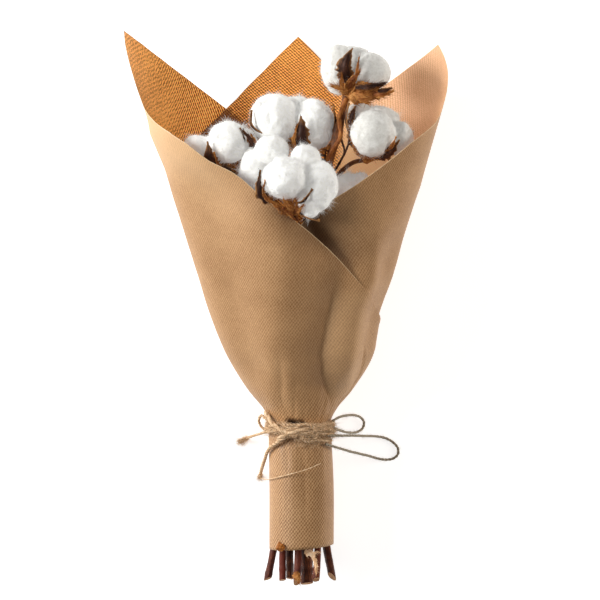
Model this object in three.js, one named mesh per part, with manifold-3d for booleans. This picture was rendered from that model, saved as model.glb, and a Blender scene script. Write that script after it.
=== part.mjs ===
// A bunch of dried cotton stems in kraft paper, tied with jute twine, lying on its back.
// Millimetres. +Y runs from the cut ends to the bolls, +X is to the right as seen from above, +Z is up.
// The origin is on the surface under the middle of the bunch.

import * as THREE from "three";
import { mergeVertices } from "three/addons/utils/BufferGeometryUtils.js";
import { LoftGeometry } from "three/addons/geometries/LoftGeometry.js";
import Module from "manifold-3d";

const wasm = await Module();
wasm.setup();

// Driving dimensions

const TOUCH_GAP = 0.3; // between pieces that touch

const PAPER = 0.9; // thickness of a sheet
const LAYER_GAP_TIED = 0.4; // between sheets where the twine holds them
const LAYER_GAP_LOOSE = 2.2; // and where they stand free
const FLAT_BACK = 2.5; // how far the round back is pressed flat on the surface

// The outside of the wrap along the bunch: [y, left edge x, right edge x, height, underside z]
const WRAP = [
  [-225, -15.3, 43.2, 57, 3.6],
  [-160, -15.3, 43.2, 57, 3.6],
  [-122, -15.8, 41.4, 56.4, 3.6],
  [-112, -16, 40.8, 56, 3.6],
  [-100, -16, 41, 56, 3.6],
  [-88, -21, 46, 61, 3],
  [-74, -32, 56.5, 69, 2],
  [-47, -48.5, 73, 84, 0.6],
  [-25, -58.5, 79.8, 93, 0],
  [2, -68.5, 87.5, 101, 0],
  [34, -77.6, 100.3, 112, 0],
  [66, -89, 108, 120, 0],
  [100, -101, 117.5, 127, 0],
  [132, -110.5, 128.5, 132, 0],
  [166, -121.5, 138.8, 138, 0],
  [205, -135, 149.5, 144, 0],
  [252, -149.5, 161, 150, 0],
];

// Angles round the wrap where the paper is drawn, from the middle of the back by the left to the front.
const COLUMNS = [
  0, 12, 24, 34, 44, 54, 64, 71, 77, 82, 86, 90, 95, 102, 110, 120, 130, 140, 150, 160,
  170, 180, 190, 200, 212, 224, 236, 248, 258, 266, 273, 281, 290, 298, 314, 324, 336, 348, 358,
];

// Upper edge of each sheet: [angle, y]. Each has one corner that stands up.
const LEFT_RIM = [
  [0, 138], [12, 151.5], [24, 171.5], [34, 190.5], [44, 209], [54, 225.5], [64, 239.5], [71, 247],
  [77, 252], [82, 240], [86, 225], [90, 205], [95, 184],
  [102, 177], [110, 171], [120, 164], [130, 154], [140, 138.5], [150, 129], [160, 109],
  [170, 97], [180, 85], [190, 72], [200, 59], [212, 42], [224, 25], [236, 15], [248, 6],
  [273, -12], [298, -30], [314, 10], [336, 104], [348, 123], [360, 138],
];
const RIGHT_RIM = [
  [160, 48], [170, 62], [180, 75], [190, 90], [200, 105], [212, 122], [224, 138], [236, 153.5],
  [248, 164], [258, 171], [266, 181], [273, 198], [281, 213], [290, 227], [298, 239],
  [314, 216], [324, 200], [348, 159.5], [360, 140], [384, 97], [404, 66],
];
const BACK_RIM = [
  [-71, 124], [-54, 152], [-44, 166], [-34, 179], [-24, 195.5], [-12, 219.5], [-2, 244.5],
  [12, 212], [24, 188], [34, 172], [44, 158], [54, 146], [64, 134], [71, 124],
];

// Rows of the paper below its free part, so that sheets that lie on each other bend at the same places.
const TIED_ROWS = [-170, -125, -112, -100, -92, -82, -70, -55, -40];
const FREE_ROWS = 7; // rows from there to the upper edge

const HANDLE_FOOT = -217; // lower edge of the handle at its left side
const HANDLE_FOOT_SLOPE = 0.078; // and its rise towards the right
const NOTCH_ANGLE = 140; // torn notch in the lower edge
const NOTCH_DEPTH = 8;
const INNER_FOOT = -125; // the inner sheets end just below the twine

const TWINE = 2.4; // diameter
const TAIL = 3.2; // diameter of the doubled tail
const TWINE_SIDES = 8;
const TURN_SIDES = 6; // of the turns, which are seen less
const TURNS = 3.6;
const TURN_PITCH = TWINE + 0.45;
const TURN_TOP = -102.5; // y of the highest turn
const STEPS_A_TURN = 18;
const TURN_STEPS = 86; // of the whole of the turns
const TURN_START = 96; // angle where the first turn meets the paper
const KNOT_STEPS = 34;
const STEP_LENGTH = 2.3; // length of a step of the loose twine, in diameters
const TURN_LIFT = 0.95; // of the turns over the paper, as their straight steps cut inwards

const BUNDLE = { x: 12.8, y: -112, z: 29.5, pitch: 8.2 }; // the stems where the twine holds them
const STEM_SIDES = 7;
const STEM_STEPS = 18;
const STEM_WOBBLE = 0.06; // share of its radius that a stem swells and thins by
const STEM_WOBBLE_TURN = 37; // radians of that swelling along a whole stem
const PLAIN_STEM = 1.4; // a stem is smooth up to this many times the share that lies below the twine
const CUP_SIDES = 8;
const CUP_STEPS = 4;
const CUP_SINK = 3; // how far the cup goes down round the stem
const CUP_COLLAR = 0.6; // how much wider than the stem it begins
const CUP_FLARE = 1.2; // power of its bowl shape
const VALVE_STEPS = 5;
const VALVE_ROOT = 0.12; // where a valve begins, from the foot of the cup to the heart of the boll
const VALVE_START = 0.16; // share of half a wave of its width that lies below its root
const VALVE_FULLNESS = 0.85; // power that brings its widest place nearer the root
const VALVE_TIP = 0.5; // half width of its tip
const VALVE_HOLLOW = 0.28; // how deep it is hollowed, as a share of its half width
const VALVE_RIDGE = 0.4; // share of that depth that its middle rises
const VALVE_INSIDE = 0.5; // from its middle to its inner face
const VALVE_OUTSIDE = 0.9; // and to its outer face
const FINE_LOCKS = 2; // of a boll, listed first
const FOLDS_ACROSS = { depth: 0.035, waves: 4 }; // soft folds of a lock
const FOLDS_ALONG = { depth: 0.03, waves: 5, slant: 3 };
const LOCK_TURN = 1.7; // radians that the folds of each next lock are shifted by
const COTTON_CLEARANCE = 0.05; // beyond the gap, for faces cut flat between their corners

const SURFACES = {
  paper: { color: 0xc49a6c, roughness: 0.85 },
  bark: { color: 0x4a2a1c, roughness: 0.75 },
  cotton: { color: 0xf1efea, roughness: 0.95 },
  jute: { color: 0xa88a62, roughness: 0.9 },
};

// Each stem with its boll. route runs from the boll to the bundle, and slot is its angle in the bundle.
// A lock is [x, y, z, half width, half length, half depth]. A valve is [tip, belly, half width].
const STEMS = [
  {
    name: "a",
    cup: { at: [55.8, 190.8, 69], towards: [66, 215, 74], radius: 17, height: 13 },
    route: [[50.6, 178, 80], [45.4, 160.3, 88], [38.7, 135.5, 88], [33, 105, 80], [24, 30, 56]],
    slot: null,
    mouth: [18.9, -214, 30],
    foot: [18.9, -251, 32],
    radii: [5.4, 3.9, 3.2],
    locks: [
      [49.5, 218, 74, 15.3, 21.6, 17],
      [74.7, 216, 72, 18.9, 17.1, 18],
      [61.2, 225.6, 58, 16.2, 12.6, 15],
      [66.6, 207.4, 56, 17.1, 13.5, 15],
    ],
    valves: [
      [[58, 236, 93], [53, 213.5, 93], 8],
      [[65, 231, 91], [61.5, 211, 90], 4],
      [[94.5, 200, 75], [80, 195, 78], 7],
      [[80, 203, 90], [70, 193, 84], 7],
      [[92, 212, 86], [80, 202, 85], 4.5],
      [[39, 226, 56], [42, 205, 58], 6],
    ],
  },
  {
    name: "b",
    cup: { at: [15.3, 143.8, 68], towards: [9, 172, 78], radius: 11, height: 11 },
    route: [[19, 122, 64], [15, 30, 40]],
    slot: -90,
    mouth: [3.6, -214, 22],
    foot: [3.2, -248, 20],
    radii: [3.2, 3.7, 2],
    locks: [
      [-9.9, 174.8, 80, 22.5, 22, 21],
      [24.3, 168.4, 78, 18.9, 23.5, 20],
      [8.1, 179, 64, 20, 14.5, 16],
      [8.1, 168.1, 60, 19.8, 19.8, 17],
    ],
    valves: [
      [[13.5, 180, 102], [11.5, 161, 98], 7],
      [[-31, 183, 92], [-30.5, 169, 95], 4.5],
      [[41.5, 187, 92], [42.5, 165, 80], 4.5],
      [[20, 190, 44], [16, 168, 42], 6],
    ],
  },
  {
    name: "c",
    cup: { at: [-50.4, 126.5, 76], towards: [-53, 152, 87], radius: 10, height: 10 },
    route: [[-40, 100, 68], [-15, 30, 47]],
    slot: 210,
    mouth: [-10.4, -214, 32],
    foot: [-16.7, -247, 30],
    radii: [3.2, 3.7, 2],
    locks: [
      [-52.2, 153.7, 90, 18, 18.9, 18],
      [-77.4, 146.8, 84, 13.5, 11.7, 13],
      [-36, 152.5, 81, 10.5, 12.6, 11],
      [-55.8, 144, 72, 16.2, 13.5, 14],
    ],
    valves: [
      [[-74, 160, 104], [-67.5, 140, 101], 6.5],
      [[-40.5, 167.5, 99], [-36, 150, 95], 4],
      [[-62, 160, 56], [-58, 142, 57], 6],
    ],
  },
  {
    name: "d",
    cup: { at: [4.6, 97.5, 108], towards: [8, 125, 118], radius: 12, height: 11 },
    route: [[9.9, 83, 104], [13, 30, 76]],
    slot: 90,
    mouth: [11.3, -214, 40],
    foot: [9.9, -248.3, 42],
    radii: [3.2, 3.7, 2.2],
    locks: [
      [-0.9, 124.5, 127, 19.8, 18.9, 20],
      [28.8, 119, 119, 18, 20, 18],
      [20, 101, 123, 12, 14, 12],
      [17.1, 140.3, 112, 13.5, 12.6, 14],
      [10.8, 116.4, 106, 16.2, 16.2, 14],
    ],
    valves: [
      [[-23.5, 131.5, 134], [-23.5, 116, 134], 5.5],
      [[24, 115, 137], [16, 104, 133], 4.5],
      [[-18, 108.5, 140], [-10, 102, 132], 4],
      [[30, 86, 130], [18, 89, 124], 4],
    ],
  },
  {
    name: "e",
    cup: { at: [-16.2, 104, 86], towards: [-19, 130, 97], radius: 8, height: 8 },
    route: [[-11, 84, 76], [0, 30, 57]],
    slot: 150,
    mouth: [-2.7, -214, 38],
    foot: [-3.2, -247, 38],
    radii: [3, 3.7, 2],
    locks: [
      [-12.6, 147.7, 104, 15.3, 13.5, 14],
      [-28.8, 127.4, 98, 13.5, 22.5, 14],
      [-18, 132.8, 88, 13.5, 14.4, 13],
    ],
    valves: [
      [[-40, 104, 96], [-30, 101, 92], 4],
      [[-8, 128, 74], [-12, 115, 78], 4.5],
    ],
  },
  {
    name: "f",
    cup: { at: [72, 137.5, 80], towards: [80, 162, 86], radius: 11, height: 10 },
    route: [[60.3, 135.2, 80], [46, 122, 76], [38, 95, 64], [29, 30, 45]],
    slot: -30,
    mouth: [36, -214, 23],
    foot: [41.7, -246.5, 18],
    radii: [3.4, 3.7, 1.9],
    locks: [
      [77.4, 162.1, 94, 19.8, 21.6, 19],
      [102.6, 157.6, 84, 11.7, 18.9, 14],
      [67.5, 177.5, 64, 13.5, 9.9, 12],
      [84.6, 167.4, 72, 18, 17.1, 15],
    ],
    valves: [
      [[101, 157, 106], [92, 142, 100], 6],
      [[55.5, 189, 88], [54, 170, 86], 5.5],
      [[80, 182, 54], [78, 160, 58], 6],
    ],
  },
  {
    name: "g",
    cup: { at: [46.8, 93, 80], towards: [54, 112, 89], radius: 8, height: 8 },
    route: [[42, 74, 72], [33, 30, 58]],
    slot: 30,
    mouth: [28.4, -214, 42],
    foot: [27.3, -245.7, 46],
    radii: [3, 3.7, 2],
    locks: [
      [57.6, 113.3, 92, 16.2, 15.3, 14],
      [69.3, 119.3, 88, 9.9, 9.9, 10],
      [54, 105.4, 84, 12.6, 10.8, 11],
    ],
    valves: [
      [[72, 100, 98], [64, 97, 92], 4],
      [[58, 124, 70], [54, 107, 71], 4.5],
    ],
  },
];

// The small loop of twine that stands off at the left, up to where the turns begin.
const SMALL_LOOP = [
  [-18.8, -111.5, 25], [-22.6, -108.5, 24.5], [-24.8, -102.8, 26], [-22.6, -98, 29], [-19.4, -99.4, 32],
];

// Routes of the loose ends of the twine, from the knot outwards.
const LOOP_UPPER = [
  [42.4, -101, 45.4], [47.6, -98.8, 38.5], [53.1, -98.2, 29], [58.6, -98.6, 19.5], [63.2, -99.8, 11],
  [67.6, -102.2, 5], [70.4, -105.8, 2.2], [70.8, -109.4, 1.6], [69.2, -112.8, 2.6],
  [65.2, -115.2, 7], [59.4, -115.2, 15.5], [53.1, -113.2, 26], [47.4, -110.4, 35.5], [42.8, -107.6, 44],
];
const LOOP_LOWER = [
  [36.9, -113.5, 51.5], [44.5, -114.4, 47.5], [55.8, -115.3, 38], [66.5, -116.8, 26],
  [76.5, -118.3, 14.5], [84, -119.6, 6.6], [91.5, -121.8, 2.4], [98, -126, 1.4], [101.8, -131, 1.3],
  [101.6, -136.4, 1.3], [97.6, -140.2, 1.3], [91, -141.2, 2.2], [83.5, -139.8, 5.4],
  [75.6, -136.9, 11], [68, -134.2, 19], [60.3, -131.4, 28], [51.5, -127.8, 38], [42.3, -123.9, 48],
  [35.6, -121.2, 54],
];
const TAIL_LEFT = [
  [-13.4, -109, 51.8], [-17.6, -111, 44.5], [-21.8, -113.2, 36.5], [-25.8, -115.4, 27.5],
  [-29.8, -117.6, 18], [-33.4, -119.8, 9.6], [-37, -122, 3.6], [-40.6, -124.2, 1.5],
];
const TAIL_DOWN = [
  [-0.5, -113.6, 61.5], [-5, -117.4, 58.5], [-10.2, -121.6, 53.5], [-14.6, -125.6, 47.5],
  [-17.4, -130.6, 40.5], [-19, -136.4, 32.5], [-20.6, -142, 23.5], [-22, -147.4, 13.5],
  [-23, -151.6, 6], [-23.6, -156, 2.2],
];

// The knot on top of the turns: [angle, y, height of its middle over the paper]
const KNOT = [
  [250, -111, 5], [236, -108.6, 5.1], [221, -107, 5.1], [206, -107.2, 5.1], [192, -110, 5.1],
  [184, -115, 5], [186, -120.4, 3.8], [197, -121.4, 5.2], [204, -117, 7.9], [205, -110.6, 8.1],
  [202, -104, 7], [192, -101, 5.5], [180, -102.4, 5.2], [172, -106.6, 5.2],
];

// Geometry and solids

function signedVolume(geometry) {
  const at = geometry.getAttribute("position");
  const index = geometry.index;
  const corner = [new THREE.Vector3(), new THREE.Vector3(), new THREE.Vector3()];
  let sum = 0;
  for (let i = 0; i < index.count; i += 3) {
    corner.forEach((point, k) => point.fromBufferAttribute(at, index.getX(i + k)));
    sum += corner[0].dot(corner[1].cross(corner[2])) / 6;
  }
  return sum;
}

// One closed surface with shared corners and its faces outwards.
function closed(geometry) {
  const bare = new THREE.BufferGeometry();
  bare.setAttribute("position", geometry.getAttribute("position"));
  bare.setIndex(geometry.index);
  const merged = mergeVertices(bare, 1e-3);
  if (signedVolume(merged) < 0) {
    merged.setIndex([...merged.index.array].reverse());
  }
  return merged;
}

function solid(geometry) {
  const merged = closed(geometry);
  return new wasm.Manifold(
    new wasm.Mesh({
      numProp: 3,
      vertProperties: merged.attributes.position.array,
      triVerts: new Uint32Array(merged.index.array),
    }),
  );
}

const joined = (solids) => solids.reduce((whole, part) => whole.add(part));

function middleOf(section) {
  const sum = new THREE.Vector3();
  section.forEach((point) => sum.add(point));
  return sum.divideScalar(section.length);
}

// A loft through sections, listed the way round that makes its walls face out.
function loft(sections, capped) {
  const [first, second] = sections;
  const normal = new THREE.Vector3();
  first.forEach((point, i) => normal.add(point.clone().cross(first[(i + 1) % first.length])));
  const ahead = middleOf(second).sub(middleOf(first));
  const ordered = normal.dot(ahead) < 0 ? sections.map((section) => section.toReversed()) : sections;
  return new LoftGeometry(ordered, { capStart: capped, capEnd: capped });
}

// The largest body of a cut solid, as a geometry.
function largestBody(cut) {
  const bodies = cut.decompose().sort((a, b) => b.volume() - a.volume());
  const mesh = bodies[0].getMesh();
  const geometry = new THREE.BufferGeometry();
  geometry.setAttribute("position", new THREE.BufferAttribute(mesh.vertProperties, 3));
  geometry.setIndex(new THREE.BufferAttribute(mesh.triVerts, 1));
  return geometry;
}

const vector = (point) => new THREE.Vector3(...point);
const smoothPath = (points) => new THREE.CatmullRomCurve3(points, false, "centripetal");

function namedMesh(name, geometry, surface) {
  geometry.computeVertexNormals();
  const material = new THREE.MeshStandardMaterial({ ...surface, metalness: 0 });
  const mesh = new THREE.Mesh(geometry, material);
  mesh.name = name;
  return mesh;
}

// Value of a list of [key, value] pairs at a key between them.
function between(pairs, key) {
  const after = pairs.findIndex((pair) => pair[0] >= key);
  if (after === 0) return pairs[0][1];
  const [k0, v0] = pairs[after - 1];
  const [k1, v1] = pairs[after];
  return THREE.MathUtils.mapLinear(key, k0, k1, v0, v1);
}

// Paper

const wrapAlong = new THREE.CubicInterpolant(
  WRAP.map((row) => row[0]),
  WRAP.flatMap((row) => row.slice(1)),
  4,
);

// A point of the wrap, inset inwards from its outside.
function onWrap(degrees, y, inset) {
  const [left, right, height, under] = wrapAlong.evaluate(y);
  const angle = THREE.MathUtils.degToRad(degrees);
  const halfHeight = (height + FLAT_BACK) / 2;
  const x = (left + right) / 2 - ((right - left) / 2 - inset) * Math.sin(angle);
  const z = under + height - halfHeight - (halfHeight - inset) * Math.cos(angle);
  return new THREE.Vector3(x, y, Math.max(z, Math.max(under, 0) + inset));
}

const layerPitch = (y) =>
  PAPER + THREE.MathUtils.lerp(LAYER_GAP_TIED, LAYER_GAP_LOOSE, THREE.MathUtils.smoothstep(y, -90, 10));

function handleFoot(degrees) {
  const foot = HANDLE_FOOT + HANDLE_FOOT_SLOPE * (onWrap(degrees, HANDLE_FOOT, 0).x - WRAP[0][1]);
  return degrees === NOTCH_ANGLE ? foot + NOTCH_DEPTH : foot;
}

// A sheet as closed strips from its foot to its rim and back, one at each angle.
function sheet(rim, footAt, layer) {
  const start = rim[0][0];
  const end = rim.at(-1)[0];
  const angles = [-360, 0, 360].flatMap((turn) => COLUMNS.map((column) => column + turn));
  if (end - start === 360) angles.push(360);
  const used = [...new Set(angles)].filter((angle) => angle >= start && angle <= end);
  const strips = used.map((angle) => {
    const foot = footAt((angle + 360) % 360);
    const lowRows = TIED_ROWS.filter((y) => y > foot + 1);
    const top = between(rim, angle);
    const rows = [foot, ...lowRows];
    for (let i = 1; i <= FREE_ROWS; i++) {
      rows.push(THREE.MathUtils.lerp(TIED_ROWS.at(-1), top, i / FREE_ROWS));
    }
    const outside = rows.map((y) => onWrap(angle, y, layer * layerPitch(y)));
    const inside = rows.map((y) => onWrap(angle, y, layer * layerPitch(y) + PAPER));
    return [...outside, ...inside.reverse()];
  });
  const ring = end - start === 360;
  return loft(strips, !ring);
}

// Stems and their burrs

// Rings of points square to a path, with a radius at each step.
function tube(path, steps, sides, radiusAt) {
  const frames = path.computeFrenetFrames(steps, false);
  const rings = [];
  for (let i = 0; i <= steps; i++) {
    const middle = path.getPointAt(i / steps);
    const radius = radiusAt(i / steps);
    const ring = [];
    for (let k = 0; k < sides; k++) {
      const turn = (2 * Math.PI * k) / sides;
      const point = middle.clone();
      point.addScaledVector(frames.normals[i], radius * Math.cos(turn));
      point.addScaledVector(frames.binormals[i], radius * Math.sin(turn));
      ring.push(point);
    }
    rings.push(ring);
  }
  return loft(rings, true);
}

function bundlePoint(slot) {
  if (slot === null) return new THREE.Vector3(BUNDLE.x, BUNDLE.y, BUNDLE.z);
  const angle = THREE.MathUtils.degToRad(slot);
  return new THREE.Vector3(
    BUNDLE.x + BUNDLE.pitch * Math.cos(angle),
    BUNDLE.y,
    BUNDLE.z + BUNDLE.pitch * Math.sin(angle),
  );
}

function stemWood(stem, grow) {
  const [footRadius, bundleRadius, topRadius] = stem.radii;
  const points = [stem.foot, stem.mouth].map(vector);
  points.push(bundlePoint(stem.slot));
  points.push(...stem.route.toReversed().map(vector));
  points.push(vector(stem.cup.at));
  const path = smoothPath(points);
  const bundleShare = (BUNDLE.y - stem.foot[1]) / (stem.cup.at[1] - stem.foot[1]);
  const radiusAt = (share) => {
    const main =
      share < bundleShare
        ? THREE.MathUtils.mapLinear(share, 0, bundleShare, footRadius, bundleRadius)
        : THREE.MathUtils.mapLinear(share, bundleShare, 1, bundleRadius, topRadius);
    const swells = share > bundleShare * PLAIN_STEM;
    const wobble = swells ? STEM_WOBBLE * Math.sin(STEM_WOBBLE_TURN * share) : 0;
    return main * (1 + wobble) + grow;
  };
  return solid(tube(path, STEM_STEPS, STEM_SIDES, radiusAt));
}

// The bowl where the valves join the stem.
function burrCup(stem, grow) {
  const at = vector(stem.cup.at);
  const axis = vector(stem.cup.towards).sub(at).normalize();
  const path = new THREE.LineCurve3(
    at.clone().addScaledVector(axis, -CUP_SINK),
    at.clone().addScaledVector(axis, stem.cup.height),
  );
  const collar = stem.radii[2] + CUP_COLLAR;
  const radiusAt = (share) => {
    const opened = Math.sin((share * Math.PI) / 2) ** CUP_FLARE;
    return THREE.MathUtils.lerp(collar, stem.cup.radius, opened) + grow;
  };
  return solid(tube(path, CUP_STEPS, CUP_SIDES, radiusAt));
}

// A dry pointed valve, boat shaped, bent from the cup over its belly to its tip.
function valve(stem, [tip, belly, halfWidth], grow) {
  const root = vector(stem.cup.at);
  const heart = vector(stem.cup.towards);
  root.lerp(heart, VALVE_ROOT);
  const path = smoothPath([root, vector(belly), vector(tip)]);
  const sections = [];
  for (let i = 0; i <= VALVE_STEPS; i++) {
    const share = i / VALVE_STEPS;
    const point = path.getPointAt(share);
    const along = path.getTangentAt(share);
    const across = along.clone().cross(point.clone().sub(heart)).normalize();
    const out = across.clone().cross(along).normalize();
    const wave = THREE.MathUtils.lerp(VALVE_START, 1, share ** VALVE_FULLNESS);
    const width = Math.max(VALVE_TIP, halfWidth * Math.sin(Math.PI * wave)) + grow;
    const hollow = VALVE_HOLLOW * width;
    const ridge = VALVE_RIDGE * hollow;
    const place = (side, rise) => point.clone().addScaledVector(across, side).addScaledVector(out, rise);
    sections.push([
      place(-width, -hollow),
      place(0, ridge - VALVE_INSIDE - grow),
      place(width, -hollow),
      place(0, ridge + VALVE_OUTSIDE + grow),
    ]);
  }
  return solid(loft(sections, true));
}

function stemSolid(stem, grow = 0) {
  const valves = stem.valves.map((leaf) => valve(stem, leaf, grow));
  return joined([stemWood(stem, grow), burrCup(stem, grow), ...valves]);
}

// Cotton

// One lock: a soft lump with shallow folds.
function lock([x, y, z, halfX, halfY, halfZ], turn, detail) {
  const ball = closed(new THREE.IcosahedronGeometry(1, detail));
  const at = ball.getAttribute("position");
  const point = new THREE.Vector3();
  for (let i = 0; i < at.count; i++) {
    point.fromBufferAttribute(at, i);
    const acrossWave = FOLDS_ACROSS.waves * point.x + turn;
    const alongWave = FOLDS_ALONG.waves * point.y + FOLDS_ALONG.slant * point.z + 2 * turn;
    const folds = FOLDS_ACROSS.depth * Math.sin(acrossWave) + FOLDS_ALONG.depth * Math.sin(alongWave);
    point.multiplyScalar(1 + folds);
    at.setXYZ(i, x + point.x * halfX, y + point.y * halfY, z + point.z * halfZ);
  }
  return solid(ball);
}

function cottonSolid(stem) {
  const locks = stem.locks.map((size, i) => lock(size, LOCK_TURN * i, i < FINE_LOCKS ? 2 : 1));
  return joined(locks).subtract(stemSolid(stem, TOUCH_GAP + COTTON_CLEARANCE));
}

// Twine

function looseTwine(points, diameter) {
  const path = smoothPath(points.map(vector));
  const steps = Math.round(path.getLength() / (diameter * STEP_LENGTH));
  const section = new THREE.Shape();
  for (let k = 0; k < TWINE_SIDES; k++) {
    const turn = (2 * Math.PI * k) / TWINE_SIDES;
    const corner = [(diameter / 2) * Math.cos(turn), (diameter / 2) * Math.sin(turn)];
    if (k === 0) section.moveTo(...corner);
    else section.lineTo(...corner);
  }
  return new THREE.ExtrudeGeometry(section, { steps, extrudePath: path, bevelEnabled: false });
}

// Turns round the handle, begun with the small loop that stands off at the left.
function twineTurns() {
  const lift = TURN_LIFT + TWINE / 2;
  const points = SMALL_LOOP.map(vector);
  const steps = TURNS * STEPS_A_TURN;
  for (let i = 1; i <= steps; i++) {
    const degrees = TURN_START + (360 * i) / STEPS_A_TURN;
    const y = TURN_TOP - (TURN_PITCH * i) / STEPS_A_TURN;
    points.push(onWrap(degrees, y, -lift));
  }
  return tube(smoothPath(points), TURN_STEPS, TURN_SIDES, () => TWINE / 2);
}

function twineKnot() {
  const points = KNOT.map(([degrees, y, lift]) => onWrap(degrees, y, -lift));
  return tube(smoothPath(points), KNOT_STEPS, TWINE_SIDES, () => TWINE / 2);
}

// The bunch

const bunch = new THREE.Group();

const paperSheets = {
  wrap_left: sheet(LEFT_RIM, handleFoot, 0),
  wrap_right: sheet(RIGHT_RIM, () => INNER_FOOT, 1),
  wrap_back: sheet(BACK_RIM, () => INNER_FOOT, 2),
};
for (const [name, geometry] of Object.entries(paperSheets)) {
  bunch.add(namedMesh(name, closed(geometry), SURFACES.paper));
}

for (const stem of STEMS) {
  bunch.add(namedMesh("stem_" + stem.name, largestBody(stemSolid(stem)), SURFACES.bark));
  bunch.add(namedMesh("cotton_" + stem.name, largestBody(cottonSolid(stem)), SURFACES.cotton));
}

const twinePieces = {
  twine_turns: twineTurns(),
  twine_knot: twineKnot(),
  twine_loop_upper: looseTwine(LOOP_UPPER, TWINE),
  twine_loop_lower: looseTwine(LOOP_LOWER, TWINE),
  twine_tail_left: looseTwine(TAIL_LEFT, TWINE),
  twine_tail_down: looseTwine(TAIL_DOWN, TAIL),
};
for (const [name, geometry] of Object.entries(twinePieces)) {
  bunch.add(namedMesh(name, closed(geometry), SURFACES.jute));
}

export default bunch;
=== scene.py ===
# %% [markdown]
# A bunch of dried cotton stems
#
# Seven woody stems of dried cotton, each with an open boll, are rolled into ribbed kraft paper and
# tied with jute twine. The bunch lies on its back on a pale floor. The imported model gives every
# piece its place, and this script dresses each one: thin creased paper, soft cotton with loose
# fibres, bark, dry valves and hairy twine. Sizes in the tables are millimetres, in the model's frame.

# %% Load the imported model
import math
from collections import defaultdict

import bmesh
import bpy
import numpy as np
from mathutils import Matrix, Vector, noise


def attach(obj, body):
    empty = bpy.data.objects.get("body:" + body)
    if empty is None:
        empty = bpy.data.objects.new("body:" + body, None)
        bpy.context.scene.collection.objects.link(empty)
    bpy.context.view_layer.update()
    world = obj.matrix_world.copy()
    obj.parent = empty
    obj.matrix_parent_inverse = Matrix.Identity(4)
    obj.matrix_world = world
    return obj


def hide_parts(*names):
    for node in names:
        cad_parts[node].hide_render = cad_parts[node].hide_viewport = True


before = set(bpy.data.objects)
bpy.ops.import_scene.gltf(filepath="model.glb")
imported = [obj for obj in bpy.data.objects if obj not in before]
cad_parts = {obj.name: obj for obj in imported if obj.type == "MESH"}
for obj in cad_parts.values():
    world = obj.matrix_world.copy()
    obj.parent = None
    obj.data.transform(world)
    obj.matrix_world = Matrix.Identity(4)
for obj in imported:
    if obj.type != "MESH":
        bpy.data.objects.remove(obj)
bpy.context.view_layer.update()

print("the packed model has", len(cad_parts), "nodes")

# %% [markdown]
# The camera comes first. The bunch lies down, so the camera looks down on it, leaning a little
# towards the bolls as it looks into the mouth of the wrap. A long lens from far away keeps the near
# bolls from growing, as in a catalogue picture.

# %% Camera
MM = 0.001
VIEW_WIDTH = 540  # of the bunch across the picture
VIEW_DISTANCE = 6000
VIEW_AIM = Vector((12.6, 9.8, 60))
VIEW_LEAN = math.radians(5)
SENSOR = 36

camera_data = bpy.data.cameras.new("camera")
camera_data.sensor_width = SENSOR
camera_data.lens = SENSOR * VIEW_DISTANCE / VIEW_WIDTH
camera_data.clip_end = 20
camera = bpy.data.objects.new("camera", camera_data)
lean_back = Vector((0, math.sin(VIEW_LEAN), math.cos(VIEW_LEAN)))
camera.location = (VIEW_AIM + VIEW_DISTANCE * lean_back) * MM
camera.rotation_euler = (-VIEW_LEAN, 0, 0)
bpy.context.scene.collection.objects.link(camera)
bpy.context.scene.camera = camera
print("lens", round(camera_data.lens), "mm")

# %% [markdown]
# Nearly everything in a bunch is long and thin, so most pieces start as a flat grid that is rolled
# or bent along a line: paper round the stems, bark round its wood, twine round its own middle. One
# helper makes the soft line through given points, one carries a pair of directions along it, and one
# moves a grid's corners to their places and keeps their flat sizes as its UV map.

# %% Lines and grids
def unit(vectors):
    return vectors / np.maximum(np.linalg.norm(vectors, axis=-1, keepdims=True), 1e-9)


def mix(low, high, share):
    return low + (high - low) * share


def ease(low, high, value):
    share = np.clip((value - low) / (high - low), 0, 1)
    return share * share * (3 - 2 * share)


def noise_at(x, y, z):
    """Smooth noise at places whose coordinates are numbers or grids of numbers."""
    places = np.stack(np.broadcast_arrays(x, y, z), axis=-1)
    return np.reshape([noise.noise(Vector(place)) for place in places.reshape(-1, 3)], places.shape[:-1])


def along_of(line):
    """How far along a line each of its points lies."""
    return np.concatenate([[0], np.cumsum(np.linalg.norm(np.diff(line, axis=0), axis=1))])


def evenly(line, spacing):
    """The same line with its points about spacing apart."""
    along = along_of(line)
    at = np.linspace(0, along[-1], max(2, round(along[-1] / spacing) + 1))
    return np.stack([np.interp(at, along, line[:, k]) for k in range(3)], axis=1)


def soft_line(points, spacing):
    """A centripetal Catmull-Rom curve through points."""
    knots = np.array(points, float)
    run = np.vstack([2 * knots[0] - knots[1], knots, 2 * knots[-1] - knots[-2]])
    share = np.linspace(0, 1, 33)[:-1, None]
    cube, square = share**3, share**2
    parts = []
    for before, start, end, after in zip(run, run[1:], run[2:], run[3:]):
        ends = ((before, start), (start, end), (end, after))
        back, here, on = (math.sqrt(max(np.linalg.norm(b - a), 1e-4)) for a, b in ends)
        leave = ((start - before) / back - (end - before) / (back + here) + (end - start) / here) * here
        reach = ((end - start) / here - (after - start) / (here + on) + (after - end) / on) * here
        from_start = (2 * cube - 3 * square + 1) * start + (cube - 2 * square + share) * leave
        parts.append(from_start + (3 * square - 2 * cube) * end + (cube - square) * reach)
    return evenly(np.vstack([*parts, knots[-1:]]), spacing)


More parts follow.
